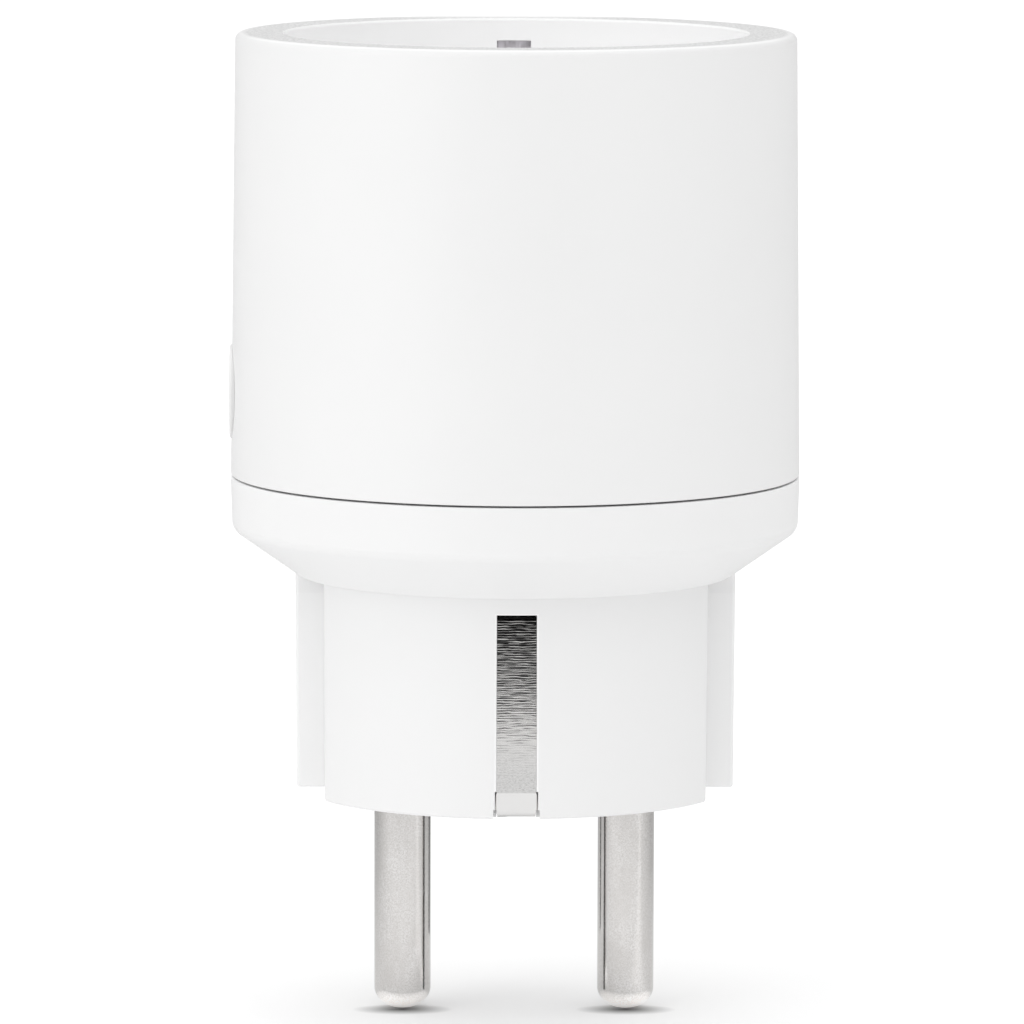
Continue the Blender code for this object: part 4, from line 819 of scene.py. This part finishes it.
def plug_prisms():
    """The plug body and its four side ribs."""
    top_z = CONE_FOOT_Z + 1.2 * MM
    outline = plug_core_outline(PLUG_RADIUS, PLUG_FLAT_X, 0.9 * MM)
    prisms = [prism("plug_core", outline, PLUG_FACE_Z, top_z, 0.2 * MM)]
    for side in (-1, 1):
        for end in (-1, 1):
            root, tip = side * (PLUG_FLAT_X - 0.9 * MM), side * PLUG_RIB_X
            near, far = end * PLUG_RIB_INNER_Y, end * PLUG_RIB_OUTER_Y
            corners = [(root, near), (tip, near), (tip, far), (root, far)]
            corners = corners if side * end > 0 else corners[::-1]
            outline = rounded_path(corners, 0.3 * MM, closed=True)
            prisms.append(prism("plug_rib", outline, PLUG_RIB_FOOT_Z, top_z - 0.3 * MM, 0.25 * MM))
    return [lean_out(part, top_z) for part in prisms]


def lower_cavities():
    """Tools for the hollow inside: wide at the collar, narrow in the plug body."""
    above = COLLAR_TOP_Z + 1 * MM
    neck = PLUG_RADIUS - PLUG_WALL
    step_z = CONE_FOOT_Z + 1.2 * MM
    wide = [(0, above), (COLLAR_INNER_RADIUS, above), (COLLAR_INNER_RADIUS, CONE_TOP_Z + 0.4 * MM)]
    wide += [(neck + 0.2 * MM, step_z), (0, step_z)]
    outline = plug_core_outline(neck, PLUG_FLAT_X - PLUG_WALL, 0.5 * MM)
    return [
        lathe("wide_cavity", wide, FINE_STEPS),
        prism("neck_cavity", outline, PLUG_FACE_THICKNESS, step_z + 0.8 * MM),
    ]


def upright_tool(name, centre, radius, low_z, high_z, inner=0.0):
    """An upright cylinder, or a ring with inner, at an (x, y) centre."""
    profile = [(inner, high_z), (radius, high_z), (radius, low_z), (inner, low_z)]
    tool = lathe(name, profile, COARSE_STEPS, closed=inner > 0)
    tool.data.transform(Matrix.Translation((centre[0], centre[1], 0)))
    return tool


def screw_place(node):
    """The (x, y) of a CAD screw's axis."""
    low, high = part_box(node)
    return (low.x + high.x) / 2, (low.y + high.y) / 2


def lower_bosses():
    """Ring bosses for the board's and the retainer's screws."""
    board_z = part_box("main_pcb")[0].z - 0.3 * MM
    plate_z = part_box("pin_retainer")[0].z - 0.3 * MM
    bosses = []
    for node in ("board_screw_front", "board_screw_rear"):
        bosses.append(upright_tool("board_boss", screw_place(node), 2.2 * MM, CONE_FOOT_Z + 1.3 * MM, board_z))
    for node in ("retainer_screw_front", "retainer_screw_rear"):
        bosses.append(upright_tool("retainer_boss", screw_place(node), 2.6 * MM, 1.6 * MM, plate_z))
    return bosses


def strip_openings(side):
    """Tools for an earth strip's slot, the pocket behind its foot and the channel above it.

    The slot is as wide as the strip with a hair of play, its long edges are broken, and it widens in two
    steps at its foot, round the strip's lugs and below them."""
    half, flare = PLUG_SLOT_WIDTH / 2, PLUG_SLOT_FLARE
    beyond_y = PLUG_RADIUS + 1.5 * MM
    edge_y = PLUG_RADIUS - 0.10 * MM
    wide = half + flare
    outline = [(-half, PLUG_SLOT_FLOOR_Y), (half, PLUG_SLOT_FLOOR_Y), (half, edge_y - flare), (wide, edge_y)]
    outline += [(wide, beyond_y), (-wide, beyond_y), (-wide, edge_y), (-half, edge_y - flare)]
    if side < 0:
        outline = [(-x, -y) for x, y in outline]
    tools = [prism("strip_slot", outline, -1 * MM, PLUG_SLOT_TOP_Z)]
    openings = [
        (PLUG_RADIUS - 1.35 * MM, beyond_y, half + LUG_REACH + 0.01 * MM, -1 * MM, LUG_TOP_Z + 0.15 * MM),
        (PLUG_RADIUS - 1.35 * MM, beyond_y, half + LUG_REACH + 0.14 * MM, -1 * MM, LUG_FOOT_Z - 0.03 * MM),
        (PLUG_POCKET_Y, PLUG_SLOT_FLOOR_Y + 0.1 * MM, half, -1 * MM, PLUG_POCKET_TOP_Z),
        (PLUG_POCKET_Y, PLUG_CHANNEL_Y, half, PLUG_SLOT_TOP_Z - 0.5 * MM, CONE_TOP_Z + 1 * MM),
    ]
    for inner_y, outer_y, reach, low_z, high_z in openings:
        near, far = sorted((side * inner_y, side * outer_y))
        tools.append(block("strip_opening", (-reach, near, low_z), (reach, far, high_z)))
    return tools


def lower_openings():
    """Tools for the pin bores, the strip slots, the screws' pilot holes and the button's notch."""
    tools = [block("flange_notch", (-23 * MM, -5.4 * MM, BUTTON_LOW.z - 0.5 * MM), (-18 * MM, 5.4 * MM, 34 * MM))]
    for side in (-1, 1):
        bore = PIN_RADIUS + PIN_FIT
        flare = 0.25 * MM
        profile = [(0, 3 * MM), (bore, 3 * MM), (bore, flare), (bore + flare, 0), (bore + flare, -1 * MM)]
        pin = lathe("pin_bore", profile + [(0, -1 * MM)], FINE_STEPS)
        pin.data.transform(Matrix.Translation((side * PIN_X, 0, 0)))
        tools.append(pin)
        tools += strip_openings(side)
    for node in ("board_screw_front", "board_screw_rear"):
        tools.append(upright_tool("board_pilot", screw_place(node), 1.1 * MM, CONE_FOOT_Z + 2.3 * MM, 24.6 * MM))
    for node in ("retainer_screw_front", "retainer_screw_rear"):
        tools.append(upright_tool("retainer_pilot", screw_place(node), 1.1 * MM, 1.3 * MM, 5 * MM))
    return tools


def make_lower_housing(material):
    """Band, cone, plug body and plug face."""
    shell = lathe("lower_shell", lower_profile())
    shell = combine(shell, "UNION", plug_prisms())
    shell = combine(shell, "DIFFERENCE", lower_cavities())
    shell = combine(shell, "UNION", lower_bosses())
    shell = combine(shell, "DIFFERENCE", lower_openings())
    return finish_piece(shell, "body", "lower_housing", material)


# ---------------------------------------------------------------- button, pins and strips


def make_button(material):
    """The button: a flat disc with a softly rounded edge and a flange behind the sleeve."""
    face, edge = -BUTTON_FACE_X, 0.22 * MM
    flange_z, back_z = 20.85 * MM, -BUTTON_HIGH.x
    flange = (BUTTON_HIGH.z - BUTTON_LOW.z) / 2
    profile = line((0, face), (BUTTON_RADIUS - edge, face), 6)
    profile += arc((BUTTON_RADIUS - edge, face - edge), edge, 90, 0, 7)
    profile += [(BUTTON_RADIUS, flange_z), (flange, flange_z), (flange, back_z), (0, back_z)]
    cap = turn_to_x(lathe("button_disc", profile, FINE_STEPS), BUTTON_CENTRE.z)
    return finish_piece(cap, "button", "button_cap", material)


def make_pin(node, material):
    """A turned pin: soldering tail, flange inside the face, shank and rounded tip."""
    low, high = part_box(node)
    centre_x = (low.x + high.x) / 2
    flange = (high.x - low.x) / 2
    shoulder = low.z + PIN_TIP_HEIGHT
    profile = [(0, high.z), (1.1 * MM, high.z), (1.2 * MM, high.z - 0.1 * MM), (1.2 * MM, 4.6 * MM)]
    profile += [(flange - 0.15 * MM, 4.6 * MM), (flange, 4.45 * MM), (flange, 2.65 * MM), (flange - 0.15 * MM, 2.5 * MM)]
    profile += line((PIN_RADIUS, 2.5 * MM), (PIN_RADIUS, shoulder), 10)
    rings = 16
    for i in range(rings):
        angle = math.pi / 2 * i / rings
        profile.append((PIN_RADIUS * math.cos(angle), shoulder - PIN_TIP_HEIGHT * math.sin(angle)))
    profile.append((0, low.z))
    pin = lathe(node + "_turned", profile, FINE_STEPS)
    pin.data.transform(Matrix.Translation((centre_x, 0, 0)))
    return finish_piece(pin, "body", node, material, 40.0)


def lug_reach(point):
    """How far a lug stands out from the strip's edge at a (y, z) point of its path."""
    y, z = point
    if y > 0.5 * MM - PLUG_STRIP_Y or not LUG_FOOT_Z - 1e-6 < z < LUG_TOP_Z + 1e-6:
        return 0.0
    return LUG_REACH * (1.0 - 0.5 * (z - LUG_FOOT_Z) / (LUG_TOP_Z - LUG_FOOT_Z))


def make_plug_strip(node, turn, material):
    """A side contact of the plug, bowed a little, folded under at its foot and with two side lugs."""
    y, tail_y = -PLUG_STRIP_Y, -PLUG_STRIP_TAIL_Y
    bow = 0.12 * MM
    bend_z = PLUG_SLOT_TOP_Z - 0.50 * MM
    tail = [(tail_y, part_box(node)[1].z), (tail_y, PLUG_SLOT_TOP_Z - 0.2 * MM), (y, bend_z), (y, bend_z - 1 * MM)]
    path = rounded_path(tail, 0.1 * MM)[:-1]
    steps = 24
    for i in range(1, steps):
        share = i / steps
        z = bend_z + (STRIP_FOLD_Z - bend_z) * share
        path.append((y - bow * math.sin(math.pi * share), z))
    foot_z, lean = 0.5 * MM, 0.35 * MM
    foot = [(y, STRIP_FOLD_Z + 0.3 * MM), (y, STRIP_FOLD_Z)]
    for z in (LUG_TOP_Z, LUG_FOOT_Z, LUG_FOOT_Z - 0.03 * MM):
        foot.append((y + lean * (STRIP_FOLD_Z - z) / (STRIP_FOLD_Z - foot_z), z))
    foot += [(y + lean, foot_z), (y + 0.75 * MM, 0.4 * MM)]
    foot += [(y + 1.5 * MM, 0.4 * MM), (y + 1.9 * MM, 0.8 * MM), (y + 1.9 * MM, 3.2 * MM)]
    path += rounded_path(foot, 0.12 * MM)[1:]
    width, reach = STRIP_HIGH.x - STRIP_LOW.x, [lug_reach(point) for point in path]
    strip = sweep_strip(node + "_bent", path, width, PLUG_STRIP_THICKNESS, 0.02 * MM, turn, reach)
    for vertex in strip.data.vertices:
        if vertex.co.z < foot_z:
            vertex.co.x *= 0.96
    return finish_piece(strip, "body", node, material)


def make_socket_clip(node, turn, material):
    """A spring contact of the socket: it bows into the recess and runs down inside."""
    wall, top = SOCKET_RADIUS, CLIP_TOP_Z
    tail = 18.6 * MM
    path = [
        (wall + 0.5 * MM, top),
        (wall + 0.1 * MM, top - 2.2 * MM),
        (wall - 1.3 * MM, top - 5.2 * MM),
        (wall - 1.75 * MM, top - 7.2 * MM),
        (wall - 1.6 * MM, top - 9.2 * MM),
        (wall - 0.4 * MM, SOCKET_FLOOR_Z + 1.2 * MM),
        (wall - 0.2 * MM, FLOOR_UNDERSIDE_Z + 1.0 * MM),
        (tail, FLOOR_UNDERSIDE_Z - 1.2 * MM),
        (tail, CLIP_LOW.z),
    ]
    path = rounded_path(path, 1.6 * MM)
    clip = sweep_strip(node + "_bent", path, CLIP_HIGH.x - CLIP_LOW.x, 0.6 * MM, 0.08 * MM, turn)
    return finish_piece(clip, "body", node, material)


# ---------------------------------------------------------------- nodes that keep their CAD mesh


def dress_node(node, material):
    """Give a CAD node its material and smooth round surfaces, without touching its shape."""
    obj = frame["nodes"][node]
    normals = obj.data.attributes.get("custom_normal")
    if normals:
        obj.data.attributes.remove(normals)
    weld = obj.modifiers.new("weld", "WELD")
    weld.merge_threshold = 0.001 * MM
    split = obj.modifiers.new("crisp_edges", "EDGE_SPLIT")
    split.split_angle = math.radians(35)
    obj.data.shade_smooth()
    obj.data.materials.clear()
    obj.data.materials.append(material)


def dress_inside():
    """Materials for everything inside the shells."""
    screw = plain_metal("zinc_screw", (0.66, 0.67, 0.69), 0.3)
    board = circuit_board()
    black = moulded("black_resin", (0.018, 0.018, 0.02), 0.55)
    iron = plain_metal("soft_iron", (0.50, 0.50, 0.51), 0.4, 0.12 * MM, (1.0, 1.0, 0.2))
    bronze = plain_metal("phosphor_bronze", (0.72, 0.44, 0.25), 0.32, 0.15 * MM, (1.0, 1.0, 0.15))
    grey = moulded("grey_insulator", (0.42, 0.43, 0.45), 0.55)
    sleeve = moulded("capacitor_sleeve", (0.02, 0.03, 0.09), 0.35)
    relay = moulded("relay_plastic", (0.02, 0.02, 0.024), 0.4)
    looks = {
        "earth_bridge": plain_metal("bare_brass", (0.78, 0.57, 0.26), 0.3, 0.12 * MM, (0.2, 0.2, 1.0)),
        "line_socket_contact": bronze,
        "neutral_socket_contact": bronze,
        "pin_retainer": grey,
        "shutter": moulded("shutter_plastic", (0.80, 0.80, 0.79), 0.45),
        "shutter_cover": grey,
        "shutter_spring": plain_metal("spring_wire", (0.60, 0.60, 0.62), 0.25),
        "cover_screw_front": screw,
        "cover_screw_rear": screw,
        "board_screw_front": screw,
        "board_screw_rear": screw,
        "retainer_screw_front": screw,
        "retainer_screw_rear": screw,
        "main_pcb": board,
        "control_pcb": board,
        "radio_module": board,
        "radio_shield": plain_metal("tinned_sheet", (0.74, 0.75, 0.76), 0.28, 0.2 * MM, (0.15, 1.0, 1.0)),
        "metering_chip": black,
        "voltage_regulator": black,
        "bridge_rectifier": black,
        "shunt_resistor": plain_metal("shunt_alloy", (0.60, 0.47, 0.36), 0.35),
        "fuse": moulded("fuse_case", (0.20, 0.09, 0.05), 0.5),
        "surge_varistor": moulded("varistor_coat", (0.03, 0.10, 0.45), 0.45, 0.3 * MM),
        "film_capacitor": moulded("film_case", (0.80, 0.58, 0.06), 0.42),
        "bulk_capacitor": sleeve,
        "output_capacitor": sleeve,
        "filter_inductor": moulded("ferrite", (0.055, 0.055, 0.06), 0.7, 0.1 * MM),
        "relay_case": relay,
        "relay_base": relay,
        "relay_coil": copper_winding(),
        "relay_yoke": iron,
        "relay_armature": iron,
        "tact_switch_body": black,
        "tact_plunger": moulded("plunger_plastic", (0.10, 0.10, 0.11), 0.45),
        "status_led": clear_resin(),
    }
    for node, material in looks.items():
        dress_node(node, material)


# ---------------------------------------------------------------- stage, light and camera


def plane(name, corners):
    """A flat rectangle from four corners, which isn't part of the object."""
    mesh = bpy.data.meshes.new(name)
    mesh.from_pydata([tuple(corner) for corner in corners], [], [(0, 1, 2, 3)])
    obj = add_object(name, mesh)
    return obj


def floor_material():
    """Overlit pale floor with a soft contact shadow round each pin tip, invisible from below.

    Reflections see it fall off behind the object, and it bounces less light than it shows."""
    pale = Recipe("pale_floor", (0.93, 0.93, 0.93), 0.9)
    tree = pale.tree
    shade, fill = 1.0, 1.0
    for side in (-1, 1):
        foot = (side * PIN_X, -SHADOW_SHIFT * SHADOW_DEPTH_SCALE, cad_low.z)
        flat = pale.stretched((1.0, SHADOW_DEPTH_SCALE, 1.0))
        away = pale.node("ShaderNodeVectorMath", {0: flat, 1: foot}, operation="DISTANCE").outputs["Value"]
        shade = pale.math("MULTIPLY", shade, pale.spread(away, 0.16, 1.0, 0.2 * MM, SHADOW_REACH))
        fill = pale.math("MULTIPLY", fill, pale.spread(away, 1.8, 1.0, 1.5 * MM, 8.0 * MM))
    ray = pale.node("ShaderNodeLightPath")
    mirrored = pale.spread(pale.axis("Y"), FLOOR_AHEAD, FLOOR_BEHIND, -60 * MM, 60 * MM)
    mirrored = pale.math("MULTIPLY", mirrored, fill)
    far = pale.node("ShaderNodeVectorMath", {0: pale.place}, operation="LENGTH").outputs["Value"]
    mirrored = pale.math("MULTIPLY", mirrored, pale.spread(far, 1.36, 1.02, 25 * MM, 120 * MM))
    aside = pale.node("ShaderNodeVectorMath", {0: pale.place, 1: (0.5, 0.866, 0.0)}, operation="DOT_PRODUCT")
    beam = pale.spread(pale.math("ABSOLUTE", aside.outputs["Value"], 0.0), 1.18, 1.0, 4 * MM, 12 * MM)
    beam = pale.mix(pale.spread(pale.axis("X"), 0.0, 1.0, 10 * MM, 18 * MM), (1.0, 1.0, 1.0), beam)
    mirrored = pale.math("MULTIPLY", mirrored, beam)
    reflected = pale.mix(ray.outputs["Is Glossy Ray"], (FLOOR_BOUNCE,) * 3, mirrored)
    level = pale.mix(ray.outputs["Is Camera Ray"], reflected, pale.math("MULTIPLY", shade, FLOOR_SEEN))
    tone = pale.math("MULTIPLY", level, 0.93)
    diffuse = pale.node("ShaderNodeBsdfDiffuse", {"Color": tone})
    glow = pale.node("ShaderNodeEmission", {"Strength": pale.math("MULTIPLY", level, FLOOR_GLOW)})
    lit = pale.node("ShaderNodeAddShader", {0: diffuse.outputs[0], 1: glow.outputs[0]})
    clear = pale.node("ShaderNodeBsdfTransparent")
    backfacing = pale.node("ShaderNodeNewGeometry").outputs["Backfacing"]
    seen = pale.node("ShaderNodeMixShader", {0: backfacing, 1: lit.outputs[0], 2: clear.outputs[0]})
    tree.links.new(seen.outputs[0], tree.nodes["Material Output"].inputs["Surface"])
    return pale.material


def card(name, start, end, low_z, high_z, tone=0.01):
    """An upright card, black unless told otherwise, from one (x, y) to another, that only shows as a reflection."""
    made = plane(name, [(*start, low_z), (*end, low_z), (*end, high_z), (*start, high_z)])
    made.data.materials.append(Recipe(name, (tone, tone, tone), 0.95).material)
    made.visible_camera = False
    made.visible_diffuse = False
    made.visible_shadow = False
    made.visible_transmission = False


def make_stage():
    """The floor under the pin tips, and the cards that metal and glossy edges reflect."""
    reach = 6.0
    z = cad_low.z
    floor = plane("floor", [(-reach, -reach, z), (reach, -reach, z), (reach, reach, z), (-reach, reach, z)])
    floor.data.materials.append(floor_material())
    card("front_card", (-0.13, -0.24), (0.13, -0.24), z, 0.34)
    card("left_edge_card", (-80 * MM, 84 * MM), (-34 * MM, 100 * MM), z, cad_high.z, 0.5)
    # Painted shade: the gap cards are dark sheets behind and between the pins that stand in for the shade there,
    # and show only in the pins' reflections.
    low, high = -14 * MM, -1 * MM
    card("gap_card_behind", (-2.9 * MM, 6 * MM), (-0.6 * MM, 6 * MM), low, high)
    card("gap_card_between", (0, -1.15 * MM), (0, 0.2 * MM), z, high)


def area_light(name, place, target, size, power):
    """A soft square light that looks at a target."""
    data = bpy.data.lights.new(name, "AREA")
    data.shape = "SQUARE"
    data.size = size
    data.energy = power
    light = bpy.data.objects.new(name, data)
    bpy.context.scene.collection.objects.link(light)
    light.location = place
    light.rotation_euler = (Vector(target) - Vector(place)).to_track_quat("-Z", "Y").to_euler()
    return light


def make_light():
    """An even surround that is brighter overhead, with a soft key from the left."""
    world = bpy.data.worlds.new("studio")
    bpy.context.scene.world = world
    world.use_nodes = True
    tree = world.node_tree
    around = tree.nodes["Background"]
    around.inputs["Color"].default_value = (1.0, 1.0, 1.0, 1.0)
    direction = tree.nodes.new("ShaderNodeTexCoord").outputs["Generated"]
    parts = tree.nodes.new("ShaderNodeSeparateXYZ")
    tree.links.new(direction, parts.inputs["Vector"])
    rise = tree.nodes.new("ShaderNodeMapRange")
    rise.inputs["To Min"].default_value = HORIZON_LIGHT
    rise.inputs["To Max"].default_value = ZENITH_LIGHT
    tree.links.new(parts.outputs["Z"], rise.inputs["Value"])
    tree.links.new(rise.outputs["Result"], around.inputs["Strength"])
    backdrop = tree.nodes.new("ShaderNodeBackground")
    backdrop.inputs["Color"].default_value = (1.0, 1.0, 1.0, 1.0)
    backdrop.inputs["Strength"].default_value = 1.05
    seen = tree.nodes.new("ShaderNodeMixShader")
    camera_ray = tree.nodes.new("ShaderNodeLightPath").outputs["Is Camera Ray"]
    tree.links.new(camera_ray, seen.inputs[0])
    tree.links.new(around.outputs[0], seen.inputs[1])
    tree.links.new(backdrop.outputs[0], seen.inputs[2])
    tree.links.new(seen.outputs[0], tree.nodes["World Output"].inputs["Surface"])
    middle = (0, 0, (cad_low.z + cad_high.z) / 2)
    area_light("key_left", (-0.75, -0.62, 0.45), middle, 0.7, KEY_POWER)
    view = bpy.context.scene.view_settings
    view.view_transform = "Standard"
    view.look = "None"
    view.exposure = 0.0
    view.gamma = 1.0


def make_camera():
    """A long lens a little above the rim, nearly square to the front earth strip."""
    distance, elevation, azimuth = 0.72404, math.radians(6.861), math.radians(-0.55)
    target = Vector((-0.26 * MM, 0, 23.54 * MM))
    back = Vector(
        (
            math.sin(azimuth) * math.cos(elevation),
            -math.cos(azimuth) * math.cos(elevation),
            math.sin(elevation),
        )
    )
    data = bpy.data.cameras.new("camera")
    data.sensor_width = 36.0
    data.lens = 300.4
    data.clip_start = 0.01
    data.clip_end = 50.0
    camera = bpy.data.objects.new("camera", data)
    bpy.context.scene.collection.objects.link(camera)
    camera.location = target + back * distance
    roll = Matrix.Rotation(math.radians(0.147), 3, "Z")
    aim = (-back).to_track_quat("-Z", "Y").to_matrix() @ roll
    camera.rotation_euler = aim.to_euler()
    bpy.context.scene.camera = camera


# ---------------------------------------------------------------- everything together

shell_white = white_plastic("white_housing")
make_upper_housing(shell_white)
make_lower_housing(shell_white)
make_button(white_plastic("white_button", 0.815))
pin_metal = nickel_pin()
make_pin("line_pin", pin_metal)
make_pin("neutral_pin", pin_metal)
strip_metal = brushed_strip()
make_plug_strip("plug_earth_strip_front", 0.0, strip_metal)
make_plug_strip("plug_earth_strip_rear", math.pi, strip_metal)
clip_metal = plain_metal("clip_metal", (0.80, 0.77, 0.81), 0.5, 0.2 * MM, (1.0, 1.0, 0.2))
make_socket_clip("socket_earth_clip_rear", 0.0, clip_metal)
make_socket_clip("socket_earth_clip_front", math.pi, clip_metal)
dress_inside()
make_stage()
make_light()
make_camera()
